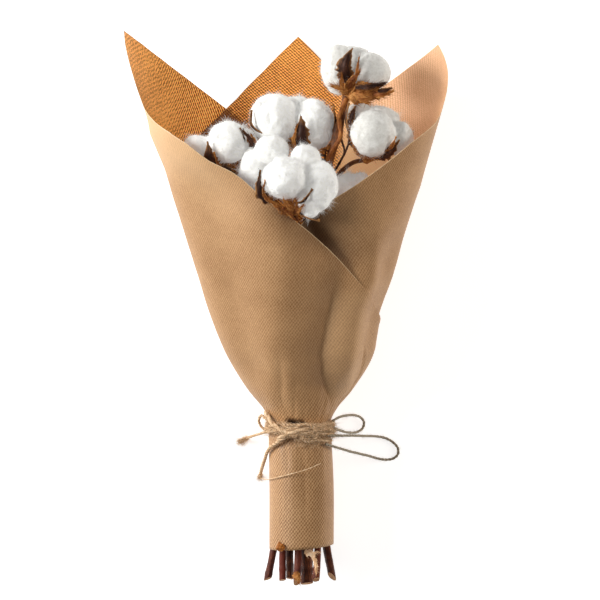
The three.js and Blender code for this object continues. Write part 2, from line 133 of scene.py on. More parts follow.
def carried_frames(line):
    """Ahead, sideways and upwards at each point, turned as little as the line allows."""
    ahead = unit(np.gradient(line, axis=0))
    side = np.zeros_like(line)
    start = np.array([0.0, 0.0, 1.0]) if abs(ahead[0][2]) < 0.8 else np.array([1.0, 0.0, 0.0])
    for i, forward in enumerate(ahead):
        start = unit(start - forward * (start @ forward))
        side[i] = start
    return ahead, side, np.cross(ahead, side)


def bent_grid(points, flat, **marks):
    """A grid whose corners are moved to points, with flat as its UV map, both in millimetres.

    marks are named numbers for each corner, which the material reads as attributes.
    """
    rows, columns = points.shape[:2]
    made = bmesh.new()
    bmesh.ops.create_grid(made, x_segments=columns - 1, y_segments=rows - 1, size=0.5)
    for vert, place in zip(made.verts, points.reshape(-1, 3) * MM):
        vert.co = place
    layer = made.loops.layers.uv.new("flat")
    corners = flat.reshape(-1, 2)
    for face in made.faces:
        for loop in face.loops:
            loop[layer].uv = corners[loop.vert.index]
    for name, numbers in marks.items():
        mark = made.verts.layers.float.new(name)
        for vert, number in zip(made.verts, np.broadcast_to(numbers, (rows, columns)).ravel()):
            vert[mark] = number
    return made


def closed_tube(line, radius, **marks):
    """A grid rolled round a line and shut. radius has a row for each point, a column for each corner."""
    radius = np.hstack([radius[:, :-1], radius[:, :1]])  # the last corner meets the first
    _, side, up = carried_frames(line)
    turn = np.linspace(0, 2 * math.pi, radius.shape[1])[None, :, None]
    around = side[:, None] * np.cos(turn) + up[:, None] * np.sin(turn)
    peeled = np.linspace(0, 2 * math.pi * radius.mean(), radius.shape[1])  # its skin, laid flat
    flat = np.stack(np.broadcast_arrays(peeled[None], along_of(line)[:, None]), axis=-1)
    made = bent_grid(line[:, None] + radius[..., None] * around, flat, **marks)
    bmesh.ops.remove_doubles(made, verts=made.verts, dist=1e-6)
    bmesh.ops.holes_fill(made, edges=made.edges, sides=0)
    bmesh.ops.recalc_face_normals(made, faces=made.faces)
    return made


def shown(name, mesh, *materials):
    """An object of a mesh, shaded smooth."""
    for material in materials:
        mesh.materials.append(material)
    mesh.shade_smooth()
    obj = bpy.data.objects.new(name, mesh)
    bpy.context.scene.collection.objects.link(obj)
    return obj


def piece(name, made, *materials):
    """An object of a finished bmesh."""
    mesh = bpy.data.meshes.new(name)
    made.to_mesh(mesh)
    made.free()
    return shown(name, mesh, *materials)


def joined(name, *objects):
    """One object of several, which all have the same kind of material slots."""
    if len(objects) > 1:
        parts = list(objects)
        with bpy.context.temp_override(
            active_object=parts[0], selected_editable_objects=parts, selected_objects=parts
        ):
            bpy.ops.object.join()
    objects[0].name = objects[0].data.name = name
    return objects[0]


def stands_for(obj, node):
    """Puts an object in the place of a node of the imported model."""
    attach(obj, "root")
    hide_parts(node)
    return obj


def triangles_of(obj):
    mesh = obj.evaluated_get(bpy.context.evaluated_depsgraph_get()).to_mesh()
    return sum(len(face.vertices) - 2 for face in mesh.polygons)


print("helpers for lines and grids are ready")

# %% [markdown]
# A fibre is a three-sided needle, cut into a few steps so that it can bend. One operator makes it,
# and it is then repeated thousands of times by one formula, which is much faster than making each
# one by itself: every copy starts at its root, sets off ahead and is bent aside towards its tip.

# %% Fibres
FLOOR_GAP = 0.2  # a fibre that reaches the floor lies on it


def needle(steps):
    """Points and triangles of one fibre, 1 long and 1 in radius at its root."""
    made = bmesh.new()
    half_up = Matrix.Translation((0, 0, 0.5))
    bmesh.ops.create_cone(made, cap_ends=True, segments=3, radius1=1, radius2=0, depth=1, matrix=half_up)
    for height in np.linspace(0, 1, steps + 1)[1:-1]:
        whole = made.verts[:] + made.edges[:] + made.faces[:]
        bmesh.ops.bisect_plane(made, geom=whole, plane_co=(0, 0, height), plane_no=(0, 0, 1), dist=1e-6)
    bmesh.ops.triangulate(made, faces=made.faces)
    made.verts.index_update()
    points = np.array([vert.co for vert in made.verts])
    triangles = np.array([[vert.index for vert in face.verts] for face in made.faces])
    made.free()
    return points, triangles


def fibres(name, roots, ahead, aside, lengths, widths, material, steps=2):
    """A mesh of fibres. ahead and aside are directions, lengths and widths millimetres."""
    template, triangles = needle(steps)
    share = template[:, 2][None, :, None]
    ahead = unit(ahead)
    side = unit(np.cross(ahead, aside + np.array([1e-3, 2e-3, 3e-3])))
    up = np.cross(side, ahead)
    middle = roots[:, None] + (ahead[:, None] * share + aside[:, None] * share**2) * lengths[:, None, None]
    thick = side[:, None] * template[None, :, :1] + up[:, None] * template[None, :, 1:2]
    points = middle + thick * (widths / 2)[:, None, None]
    points[..., 2] = np.maximum(points[..., 2], FLOOR_GAP)
    shift = np.arange(len(roots))[:, None, None] * len(template)
    mesh = bpy.data.meshes.new(name)
    mesh.from_pydata(points.reshape(-1, 3) * MM, [], (triangles[None] + shift).reshape(-1, 3))
    return shown(name, mesh, material)


def numbers_of(parts, name, kind=float):
    """Three numbers of each part of a mesh."""
    found = np.zeros(len(parts) * 3, kind)
    parts.foreach_get(name, found)
    return found.reshape(-1, 3)


def scattered(obj, count, draw):
    """Points spread evenly over a mesh, in millimetres, with the direction out of it at each."""
    mesh = obj.data
    mesh.calc_loop_triangles()
    corners = numbers_of(mesh.loop_triangles, "vertices", np.int32)
    a, b, c = numbers_of(mesh.vertices, "co")[corners].transpose(1, 0, 2) / MM
    across = np.cross(b - a, c - a)
    size = np.linalg.norm(across, axis=1)
    chosen = draw.choice(len(size), count, p=size / size.sum())
    u, v = draw.random((2, count, 1))
    u, v = np.where(u + v > 1, 1 - u, u), np.where(u + v > 1, 1 - v, v)
    return a[chosen] + u * (b - a)[chosen] + v * (c - a)[chosen], unit(across[chosen])


print("a fibre has", len(needle(2)[1]), "triangles")

# %% [markdown]
# Every material starts from what the thing really is. One function turns a hex colour to the linear
# values that the shader wants, and one adds any node with its settings and whatever feeds it. The
# others are what most of these materials share: noise, a ramp between two tones, a tint where the
# mesh has a mark, and relief. A pattern's scale is worked out from its real size: a noise texture at
# scale 1 has features about 1 unit apart, and object coordinates are metres, so a feature of 4 mm
# needs a scale of 250.

# %% Material helpers
def linear(code):
    parts = [int(code[i : i + 2], 16) / 255 for i in (0, 2, 4)]
    return (*(p / 12.92 if p <= 0.04045 else ((p + 0.055) / 1.055) ** 2.4 for p in parts), 1)


def feed(material, node, inputs):
    """Sets a node's inputs, each to a value or to the socket that feeds it."""
    for name, value in inputs.items():
        if isinstance(value, bpy.types.NodeSocket):
            material.node_tree.links.new(value, node.inputs[name])
        else:
            node.inputs[name].default_value = value


def add_node(material, kind, inputs=(), **settings):
    """Adds a node with its own settings and its inputs."""
    node = material.node_tree.nodes.new("ShaderNode" + kind)
    for name, value in settings.items():
        setattr(node, name, value)
    feed(material, node, dict(inputs))
    return node


def new_material(name):
    """A material and the sockets of its coordinates."""
    material = bpy.data.materials.new(name)
    material.use_nodes = True
    return material, add_node(material, "TexCoord").outputs


def finish(material, **inputs):
    """Sets the shader's inputs, named with _ for a space."""
    shader = material.node_tree.nodes["Principled BSDF"]
    feed(material, shader, {name.replace("_", " "): value for name, value in inputs.items()})
    return material


def features(size):
    """The texture scale that gives features of size millimetres on object coordinates."""
    return 1 / (size * MM)


def noise_node(material, place, scale, detail, roughness):
    inputs = {"Vector": place, "Scale": scale, "Detail": detail, "Roughness": roughness}
    return add_node(material, "TexNoise", inputs).outputs["Fac"]


def mixed(material, share, first, second):
    """A mix of two numbers, or of a colour with a hex colour."""
    tint = isinstance(second, str)
    inputs = {"Factor": share, "A": first, "B": linear(second) if tint else second}
    return add_node(material, "Mix", inputs, data_type="RGBA" if tint else "FLOAT").outputs["Result"]


def marked(material, mark):
    """A mark on the mesh, as a number."""
    return add_node(material, "Attribute", attribute_name=mark).outputs["Fac"]


def ramp(material, source, low, high, middle=None):
    """Colours along a number. low and high are a position and a colour, middle is a colour at a half."""
    node = add_node(material, "ValToRGB", {"Fac": source})
    for stop, (position, code) in zip(node.color_ramp.elements, (low, high)):
        stop.position = position
        stop.color = linear(code)
    if middle:
        node.color_ramp.elements.new(0.5).color = linear(middle)
    return node.outputs["Color"]


def relief(material, height, strength, depth):
    """A bump that stands depth millimetres high."""
    inputs = {"Height": height, "Strength": strength, "Distance": depth * MM}
    return add_node(material, "Bump", inputs).outputs["Normal"]


print("helpers for materials are ready")

# %% [markdown]
# The twine is natural jute of two plies twisted together, raw and hairy, with no coating. It is
# straw-coloured with fine streaks, and dark in the groove between the plies: dust and painted shade.
# That groove is a mark on the mesh, worked out with the twist, so that it follows the form.
# The loops are greyer, and the knot and the ends, where the plies are rubbed open, are paler.

# %% Jute
TWINE_LAY = 7.0  # length of a full turn of the two plies


def raw_jute(name, dark, light, deep):
    """Streaked fibre between two straw tones, with deep in the groove between the plies, for dust and painted
    shade.
    """
    material, place = new_material(name)
    streaks = noise_node(material, place["Object"], features(1.3), 4, 0.7)
    straw = ramp(material, streaks, (0.34, dark), (0.64, light))
    return finish(
        material,
        Base_Color=mixed(material, marked(material, "groove"), straw, deep),
        Normal=relief(material, streaks, 0.5, 0.3),
        Roughness=0.9,
        Specular_IOR_Level=0.2,
    )


jute_grey = raw_jute("jute_twine", "75685a", "cfc2ac", "41372c")
jute_pale = raw_jute("jute_worn_open", "b0804e", "f8dfbd", "6a4424")
print("jute: two plies, a full turn every", TWINE_LAY, "mm")

# %% [markdown]
# The wrap is a round cone of paper, pressed flat where it lies. Everything that touches it needs the
# same shape: the sheets, and the twine that is wound on it. The rows give its width, height and
# underside along the bunch, and one function turns an angle round it into a place.

# %% Shape of the wrap
WRAP = np.array([  # y, left edge x, right edge x, height, underside z
    (-225, -15.3, 43.2, 57, 3.6),
    (-160, -15.3, 43.2, 57, 3.6),
    (-122, -15.8, 41.4, 56.4, 3.6),
    (-112, -16, 40.8, 56, 3.6),
    (-100, -16, 41, 56, 3.6),
    (-88, -21, 46, 61, 3),
    (-74, -32, 56.5, 69, 2),
    (-47, -48.5, 73, 84, 0.6),
    (-25, -58.5, 79.8, 93, 0),
    (2, -68.5, 87.5, 101, 0),
    (34, -77.6, 100.3, 112, 0),
    (66, -89, 108, 120, 0),
    (100, -101, 117.5, 127, 0),
    (132, -110.5, 128.5, 132, 0),
    (166, -121.5, 138.8, 138, 0),
    (205, -135, 149.5, 144, 0),
    (252, -149.5, 161, 150, 0),
])
FLAT_BACK = 2.5  # how far the round back is pressed flat


def along_wrap(y):
    """Left, right, height and underside of the wrap at y, on soft curves through its rows."""
    at, values = WRAP[:, 0], WRAP[:, 1:]
    slopes = np.diff(values, axis=0) / np.diff(at)[:, None]
    tangents = np.vstack([slopes[:1], (slopes[1:] + slopes[:-1]) / 2, slopes[-1:]])
    row = np.clip(np.searchsorted(at, y) - 1, 0, len(at) - 2)
    step = (at[row + 1] - at[row])[..., None]
    t = (y[..., None] - at[row][..., None]) / step
    before = (2 * t**3 - 3 * t**2 + 1) * values[row] + (t**3 - 2 * t**2 + t) * step * tangents[row]
    after = (3 * t**2 - 2 * t**3) * values[row + 1] + (t**3 - t**2) * step * tangents[row + 1]
    return np.moveaxis(before + after, -1, 0)


def on_wrap(degrees, y, inset):
    """A place on the wrap, inset millimetres inwards. 0 is the back, 90 the left, 180 the front."""
    degrees, y, inset = np.broadcast_arrays(np.asarray(degrees, float), y, inset)
    left, right, height, under = along_wrap(y)
    angle = np.radians(degrees)
    half_height = (height + FLAT_BACK) / 2
    x = (left + right) / 2 - ((right - left) / 2 - inset) * np.sin(angle)
    z = under + height - half_height - (half_height - inset) * np.cos(angle)
    return np.stack([x, y, np.maximum(z, np.maximum(under, 0) + inset)], axis=-1)


print("the wrap is", WRAP[-1][2] - WRAP[-1][1], "mm wide at its mouth")

# %% [markdown]
# The twine is one length of jute: turns round the handle with a small loop at their start, a knot,
# two loops and two ends. A free loop or end is a cord, with its real length and thickness, and lies
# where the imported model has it, so its route repeats the same points. The section isn't round: it
# has a lobe for each ply, and the lobes turn as the line goes on, which is how real twine looks. The
# knot was pulled tight and has come undone, so loose strands and fluff lie over it.

# %% Twine
TWINE = 2.4  # diameter
TAIL = 3.2  # diameter of the doubled end
PLY_DIP = 0.42  # depth of the groove between the plies, as a share of the radius
TWINE_STEP = 0.7  # from ring to ring of the mesh
TWINE_SIDES = 14
HAIR_A_MILLIMETRE = 1.6

LOOP_UPPER = [
    (42.4, -101, 45.4), (47.6, -98.8, 38.5), (53.1, -98.2, 29), (58.6, -98.6, 19.5), (63.2, -99.8, 11),
    (67.6, -102.2, 5), (70.4, -105.8, 2.2), (70.8, -109.4, 1.6), (69.2, -112.8, 2.6),
    (65.2, -115.2, 7), (59.4, -115.2, 15.5), (53.1, -113.2, 26), (47.4, -110.4, 35.5), (42.8, -107.6, 44),
]
LOOP_LOWER = [
    (36.9, -113.5, 51.5), (44.5, -114.4, 47.5), (55.8, -115.3, 38), (66.5, -116.8, 26),
    (76.5, -118.3, 14.5), (84, -119.6, 6.6), (91.5, -121.8, 2.4), (98, -126, 1.4), (101.8, -131, 1.3),
    (101.6, -136.4, 1.3), (97.6, -140.2, 1.3), (91, -141.2, 2.2), (83.5, -139.8, 5.4),
    (75.6, -136.9, 11), (68, -134.2, 19), (60.3, -131.4, 28), (51.5, -127.8, 38), (42.3, -123.9, 48),
    (35.6, -121.2, 54),
]
TAIL_LEFT = [
    (-13.4, -109, 51.8), (-17.6, -111, 44.5), (-21.8, -113.2, 36.5), (-25.8, -115.4, 27.5),
    (-29.8, -117.6, 18), (-33.4, -119.8, 9.6), (-37, -122, 3.6), (-40.6, -124.2, 1.5),
]
TAIL_DOWN = [
    (-0.5, -113.6, 61.5), (-5, -117.4, 58.5), (-10.2, -121.6, 53.5), (-14.6, -125.6, 47.5),
    (-17.4, -130.6, 40.5), (-19, -136.4, 32.5), (-20.6, -142, 23.5), (-22, -147.4, 13.5),
    (-23, -151.6, 6), (-23.6, -156, 2.2),
]
SMALL_LOOP = [
    (-18.8, -111.5, 25), (-22.6, -108.5, 24.5), (-24.8, -102.8, 26), (-22.6, -98, 29), (-19.4, -99.4, 32),
]
KNOT = [  # angle round the wrap, y, height of the twine's middle over the paper
    (250, -111, 5), (236, -108.6, 5.1), (221, -107, 5.1), (206, -107.2, 5.1), (192, -110, 5.1),
    (184, -113.5, 5), (187, -117, 4.2), (197, -117.6, 5.2), (203, -114.6, 7), (205, -110.6, 7.2),
    (202, -105.4, 6.4), (192, -102.4, 5.4), (180, -103, 5.2), (172, -106.6, 5.2),
]
TURNS = 3.6
TURN_PITCH = TWINE + 0.45
TURN_TOP = -102.5
TURN_START = 96  # angle where the first turn meets the paper
TURN_LIFT = 0.95  # of the turns over the paper
STEPS_A_TURN = 18


def twine_mesh(line, diameter, lay=TWINE_LAY, dip=PLY_DIP):
    """Two twisted plies as one closed surface; a longer lay and a smaller dip give loose, raw jute."""
    along = np.arange(len(line))[:, None] * np.linalg.norm(line[1] - line[0])
    turn = np.linspace(0, 2 * math.pi, TWINE_SIDES + 1)[None, :]
    twist = 2 * math.pi * along / (lay * diameter / TWINE)
    lobes = np.abs(np.cos(turn - twist))
    strands = 0.03 * np.sin(7 * (turn - twist) + 1.3 * np.sin(along * 0.9))
    radius = diameter / 2 * (1.05 - dip + dip * lobes**0.7 + strands)
    # the groove mark carries dust and painted shade between the plies
    return closed_tube(line, radius, groove=1.7 * dip * ease(0.75, 0.2, lobes))


def twine_hair(name, line, diameter, draw, jute, reach=(1.5, 4.5), thicket=1):
    """Loose ends of fibres that stand off the twine."""
    count = round(thicket * HAIR_A_MILLIMETRE * len(line) * np.linalg.norm(line[1] - line[0]))
    at = draw.integers(2, len(line) - 2, count)
    ahead, side, up = carried_frames(line)
    turn = draw.uniform(0, 2 * math.pi, count)[:, None]
    out = side[at] * np.cos(turn) + up[at] * np.sin(turn)
    roots = line[at] + out * diameter * 0.36
    forward = ahead[at] * draw.choice([-1, 1], count)[:, None]
    lengths, widths = draw.uniform(*reach, count), draw.uniform(0.14, 0.28, count)
    return fibres(name, roots, forward + 0.5 * out, 0.35 * out - 0.2 * forward, lengths, widths, jute, 1)


def frayed_end(name, tip, forward, spread, reach, draw, jute, count=260):
    """A brush of fibres where the twine's plies come undone."""
    aside = draw.normal(0, spread, (count, 3))
    roots = tip - forward * draw.uniform(0, 3, count)[:, None] + draw.normal(0, 0.5, (count, 3))
    lengths, widths = draw.uniform(*reach, count), draw.uniform(0.16, 0.34, count)
    bend = 0.6 * draw.normal(0, spread, (count, 3))
    return fibres(name, roots, forward + aside, bend, lengths, widths, jute, 3)


def knot_fluff(count, angles, rows, lift, aim, draw):
    """Fibres that have come out of the knot and lie over it."""
    roots = [on_wrap(draw.uniform(*angles), draw.uniform(*rows), -draw.uniform(*lift)) for _ in range(count)]
    ahead = draw.normal(0, aim, (count, 3))
    bend = draw.normal(0, 0.35, (count, 3))
    lengths, widths = draw.uniform(3, 9, count), draw.uniform(0.18, 0.38, count)
    return fibres("knot_fluff", np.array(roots), ahead, bend, lengths, widths, jute_pale)


twine_draw = np.random.default_rng(11)
MESSY_STRANDS = [  # diameter, then angle, y and lift
    (4.2, [(108, -93.5, 1.8), (117, -96.5, 3), (132, -102.6, 5), (154, -108.6, 5.8), (176, -113, 5)]),
    (3.6, [(140, -117.5, 3), (152, -113.5, 5), (166, -110, 6.4), (182, -107.4, 6.4), (194, -106.5, 5)]),
    (2.0, [(186, -108, 4), (200, -105.6, 5), (222, -104.6, 4.2), (246, -103.6, 3)]),
    (2.4, [(172, -113, 3), (190, -111.4, 5.4), (207, -110.7, 5.2), (234, -112.5, 4.2), (258, -113.5, 2.6)]),
    (2.0, [(176, -111, 4), (190, -115.5, 5), (208, -117, 4), (230, -118.6, 2.6), (250, -119.5, 1.8)]),
    (2.0, [(100, -111, 2.4), (118, -111.5, 4.2), (141, -108.6, 5), (166, -107.3, 5.6), (188, -106.5, 4)]),
    (1.3, [(150, -104, 3), (166, -106, 6), (184, -110, 7), (204, -108, 8), (222, -108, 6), (240, -106, 3)]),
    (1.3, [(186, -116, 3), (200, -112, 7), (214, -106, 6), (232, -107, 5), (252, -110, 3)]),
]
STRAY_FIBRE = [  # a stiff straw that lies over the front of the handle
    (-22.5, -158, 3), (-17.6, -156, 32), (-12.5, -153.2, 48.4), (1, -148.6, 60),
    (14.4, -144.6, 62.8), (24, -141.4, 61.4), (31, -138.6, 57.6),
]
STRAY_RADIUS = 0.42
turn_knots = [*SMALL_LOOP]
for step in range(1, round(TURNS * STEPS_A_TURN) + 1):
    turn_degrees = TURN_START + 360 * step / STEPS_A_TURN
    turn_y = TURN_TOP - TURN_PITCH * step / STEPS_A_TURN
    turn_knots.append(on_wrap(turn_degrees, turn_y, -(TURN_LIFT + TWINE / 2)))
knot_knots = [on_wrap(degrees, y, -lift) for degrees, y, lift in KNOT]

for name, knots in (("twine_turns", turn_knots), ("twine_knot", knot_knots)):
    wound = soft_line(knots, TWINE_STEP)
    tight = piece(name + "_jute", twine_mesh(wound, TWINE), jute_pale)
    hair = twine_hair(name + "_hair", wound, TWINE, twine_draw, jute_pale, thicket=2.4)
    stands_for(joined(name + "_jute", tight, hair), name)
    print(name, len(wound), "rings")

messy = []
for thick, knots in MESSY_STRANDS:
    strand = soft_line([on_wrap(degrees, y, -lift) for degrees, y, lift in knots], TWINE_STEP)
    messy.append(piece("strand", twine_mesh(strand, thick, lay=13, dip=0.24), jute_pale))
    messy.append(twine_hair("strand_hair", strand, thick, twine_draw, jute_pale, (3, 8), thicket=3.5))
messy.append(knot_fluff(520, (176, 262), (-117, -103), (2, 6.5), (1.0, 0.45, 0.35), twine_draw))
messy.append(knot_fluff(200, (108, 180), (-116, -100), (2, 6.5), (0.8, 0.6, 0.3), twine_draw))
messy.append(knot_fluff(90, (172, 215), (-123, -116), (0.6, 3), (0.7, 0.6, 0.3), twine_draw))
stands_for(joined("twine_knot_strands", *messy), "twine_knot")

LOOSE_TWINE = (  # node, route, diameter, far end, its jute
    ("twine_loop_upper", LOOP_UPPER, TWINE, "object", jute_grey),
    ("twine_loop_lower", LOOP_LOWER, TWINE, "object", jute_grey),
    ("twine_tail_left", TAIL_LEFT, TWINE, "bare", jute_pale),
    ("twine_tail_down", TAIL_DOWN, TAIL, "bare", jute_pale),
)
for name, route, thick, far_end, jute in LOOSE_TWINE:
    loose = soft_line(route, TWINE_STEP)
    loose_twine = stands_for(piece(name + "_jute", twine_mesh(loose, thick), jute), name)
    hair = [twine_hair(name + "_hair", loose, thick, twine_draw, jute)]
    if far_end == "bare":
        forward = unit(loose[-1] - loose[-4])
        hair.append(frayed_end(name + "_fray", loose[-1], forward, 0.45, (4, 9), twine_draw, jute))
    if name == "twine_tail_left":
        tuft = loose[-9] + np.array([0, 0, 0.8])
        hair.append(frayed_end(name + "_tuft", tuft, forward, 0.5, (4, 8), twine_draw, jute))
    if name == "twine_tail_down":
        straw = soft_line(STRAY_FIBRE, 1.2)
        hair.append(piece("stray_fibre", closed_tube(straw, np.full((len(straw), 7), STRAY_RADIUS)), jute))
    loose_hair = stands_for(joined(name + "_hair", *hair), name)
    length = along_of(loose)[-1] * MM
    print(name, round(length * 1000), "mm long")

# %% [markdown]
# The paper is unbleached kraft, a strong brown wrapping paper with fine ribs rolled into it. Its
# colour is an even tan with darker and lighter fibres. Two sets of ribs cross at a slant, and relief
# catches the light on each of them. The orange and the glow of the inside are painted light, for the
# light that shines through a single sheet or falls in through the mouth. The inside has painted shade,
# dark brown, where two sheets lie on each other and low down. The outside has painted shade where it
# is pressed in and under the flap, painted light on lit folds, and a painted highlight along the cut
# edge. All these are marks on the mesh.

# %% Kraft paper
RIB = 2.35  # from rib to rib; the real ones are about 1 mm, which would be too fine to show
WAVE_BAND = 2 * math.pi / 20  # a wave texture's band at scale 1


def ribbing(material, place, slant, spacing, wander):
    """Ribs a given distance apart, which run at a slant and wander a little."""
    turned = add_node(material, "Mapping", {"Vector": place["UV"], "Rotation": (0, 0, math.radians(slant))})
    inputs = {"Scale": WAVE_BAND / spacing, "Distortion": wander, "Detail": 2, "Detail Scale": 2.2}
    return add_node(material, "TexWave", {"Vector": turned.outputs["Vector"], **inputs}).outputs["Fac"]


def kraft(name, dark, light, weave, crisp, height, shade=None, outside=False, glow=0.0, shine=0.25):
    """Kraft paper with two sets of ribs.

    weave is the slant, spacing and wander of each set, and the share of the second. crisp is how
    sharply the dark lines stand out, height how high the ribs are, and shade the colour of the painted
    shade. glow is painted light: the paper glows in its own colour, for the light that comes through
    the sheet from behind, which is orange, as the pulp swallows the blue.
    """
    material, place = new_material(name)
    ribs, cross_ribs, crossing = weave
    woven = mixed(material, crossing, ribbing(material, place, *ribs), ribbing(material, place, *cross_ribs))
    if outside:  # here the ribs are clearest where the paper is rolled tight
        woven = mixed(material, marked(material, "quiet"), woven, 0.5)
    grain = mixed(material, 0.45, woven, noise_node(material, place["Object"], features(1.3), 4, 0.7))
    tone = mixed(material, 0.22, grain, noise_node(material, place["Object"], features(38), 4, 0.65))
    seen = ramp(material, tone, (0.5 - 0.2 / crisp, dark), (0.5 + 0.2 / crisp, light))
    # painted shade, outside and inside, where the mesh is marked
    if shade:
        seen = mixed(material, marked(material, "painted_shade_outside" if outside else "painted_shade"), seen, shade)
    # painted light, a pale orange, where the mesh is marked
    seen = mixed(material, marked(material, "painted_light_outside" if outside else "lit"), seen, "f8cf9f")
    # painted light: the paper glows in its own colour
    if glow:
        finish(material, Emission_Color=seen, Emission_Strength=glow)
    return finish(
        material,
        # painted highlight: a pale line along the cut edge
        Base_Color=mixed(material, marked(material, "rim"), seen, "ecd0a6"),
        Normal=relief(material, grain, 0.55, height),
        Roughness=0.5,
        Specular_IOR_Level=shine,
    )


OUTSIDE = ((39, RIB, 2.2), (142, RIB, 3.0), 0.4)
INSIDE = ((47, 0.94 * RIB, 2.4), (116, 1.05 * RIB, 3.0), 0.38)
INSIDE_CORNER = ((149, 0.9 * RIB, 2.6), (98, 1.35 * RIB, 4.0), 0.26)
# the outside's dark brown shade colour is painted shade
kraft_outside = kraft("ribbed_kraft", "875c34", "cfa476", OUTSIDE, 1.15, 0.25, "2c190c", True, shine=0.5)
# the inside in copies with painted light: an orange glow for light coming through the sheet, brightest at the
# lit corner, dimmer behind the bolls, and paler peach where the right sheet is in the light
kraft_glowing = kraft("kraft_lit_through", "6a3008", "ffb45e", INSIDE_CORNER, 2.2, 0.3, "54270e", glow=0.46)
kraft_behind = kraft("kraft_behind_bolls", "6a3008", "fcae58", INSIDE, 2.1, 0.3, "54270e", glow=0.22)
kraft_inside_painted_light = kraft("kraft_in_the_light", "c08a5e", "f2c49c", INSIDE, 0.7, 0.1, "8a5630", glow=0.22)
# the torn bit's orange and faint glow are painted light coming through it
kraft_torn = kraft("torn_kraft", "7e451a", "b4702e", INSIDE, 0.7, 0.1, glow=0.08)
kraft_edge = kraft("cut_edge_of_kraft", "b78e62", "e2c096", OUTSIDE, 1, 0.1)
print("kraft paper with a rib every", RIB, "mm")

# %% [markdown]
# Each sheet starts as a grid with a column for each angle round the wrap and rows from its foot to
# its cut rim. The paper is crushed where the twine draws it in, so sharp little pleats spread from
# there, and further up it keeps broad soft folds, the longest of them down the front. All sheets
# take the same creases, so they lie on each other without cutting through. Creases go inwards, and
# only the outline stands out a little more than the round does. A solidify modifier then gives the
# thickness, with one material outside and one inside.

# %% Paper sheets
PAPER = 0.35  # thickness; real kraft is about 0.15 mm, which would let the light through its edge
LAYER_TIED = 0.9 + 0.4  # from one sheet to the next where the twine holds them
LAYER_LOOSE = 0.9 + 2.2  # and where they stand free
LAYER_CLOSE = 0.7  # and where the right one lies under the flap's end
TIE = -107
TIED = (-118.0, -88.0)  # rows lie closer between these, where the twine draws the paper in
TIED_ROWS = 20
HANDLE_FOOT = -219
HANDLE_FOOT_SLOPE = 0.078
NOTCH_ANGLE = 140  # torn notch in the lower edge
NOTCH_HALF_WIDTH = 8.5  # degrees
NOTCH_DEPTH = 8
INNER_FOOT = -125
RIM_LINE = 0.8  # the cut edge has a painted highlight this wide
FLAP_DIP = 12  # how far the right sheet dives under the flap
FLAP_REACH = 30  # and how far from the flap's edge it does so

LEFT_RIM = [  # angle, y
    (0, 138), (12, 151.5), (24, 171.5), (34, 190.5), (44, 209), (54, 225.5), (64, 239.5), (71, 247),
    (77, 252), (82, 240), (86, 225), (90, 205), (95, 184),
    (102, 177), (110, 171), (120, 164), (130, 154), (140, 138.5), (150, 129.5),
    (155, 123), (160, 114.5), (170, 99.5), (180, 85), (190, 72), (200, 59), (212, 42), (224, 25),
    (236, 15), (248, 6),
    (273, -12), (298, -30), (314, 10), (336, 104), (348, 123), (360, 138),
]
RIGHT_RIM = [
    (160, 48), (170, 62), (180, 75), (190, 90), (200, 105), (212, 122), (224, 138), (236, 153.5),
    (248, 164), (258, 171), (266, 181), (273, 198), (281, 213), (290, 227), (298, 239),
    (314, 216), (324, 200), (348, 159.5), (360, 140), (384, 97), (404, 66),
]
BACK_RIM = [
    (-71, 124), (-54, 152), (-44, 166), (-34, 179), (-24, 195.5), (-12, 219.5), (-2, 244.5),
    (12, 212), (24, 188), (34, 172), (44, 158), (54, 146), (64, 134), (71, 124),
]
SOFT_FOLDS = [  # a line down the wrap as (y, angle), depth, width before and after it, and if it is round
    {"line": [(45, 207), (3, 206), (-15, 204), (-38, 201), (-56, 206), (-66, 213), (-80, 230), (-92, 238)],
     "depth": 11, "before": 58, "after": 30, "fades": (40, 5, -66, -96)},
    {"line": [(128, 190), (77, 201), (45, 207), (3, 208)],
     "depth": 11, "before": 58, "after": 46, "fades": (128, 80, 40, 5), "round": True},
    {"line": [(100, 180), (77, 188), (50, 198)],
     "depth": 6, "before": 42, "after": 20, "fades": (108, 84, 66, 30), "round": True},
    {"line": [(-28, 241), (-34, 245), (-46, 250), (-54, 254.5), (-82, 256.5), (-96, 257)],
     "depth": 1.8, "before": 3, "after": 4.5, "fades": (-26, -40, -80, -97)},
    {"line": [(-30, 166), (-62, 161), (-88, 152)],
     "depth": 1.4, "before": 14, "after": 9, "fades": (-25, -55, -80, -98)},
    {"line": [(-113, 172), (-132, 184), (-160, 186)],
     "depth": 2.4, "before": 15, "after": 22, "fades": (-108, -118, -150, -215)},
    {"line": [(-113, 140), (-128, 152), (-146, 160)],
     "depth": 1.2, "before": 9, "after": 5, "fades": (-108, -116, -128, -150)},
]
FLAP_LINE = [(30, 216), (53, 207), (72, 193), (85, 187), (100, 180)]  # where the left sheet ends in front
NEARLY_PLANE = (  # angles between which the paper is stretched flat, depth in half widths, where it fades
    (88, 174, 0.112, (150, 100, -45, -92)),
    (226, 272, 0.058, (90, 40, -40, -92)),
)
FULLER = [  # y, how far the outline stands out more than the round does, at the left and at the right
    (-102, 0, 0), (-84, 2.6, 3.4), (-60, 2.4, 3.6), (-35, 2.6, 3.8), (-15, 2.4, 1.4), (5, 2.4, 1.6),
    (37, 2.8, 0), (60, 1.6, 0.8), (90, 0, 2), (112, -0.4, 2.4), (128, -0.4, 1), (144, 1.3, 0.3),
    (160, 2.6, 0), (175, 0, 0),
]

PLEAT = (4.6, 150, 3.1)  # noise: how fine round the wrap, how long down it, and where it starts
FINE_PLEAT = (9.5, 60, 8.4)
SOFT_WAVE = (1.5, 95, 5.7)
SOFT_CREASE = (1.1, 70, 1.9)


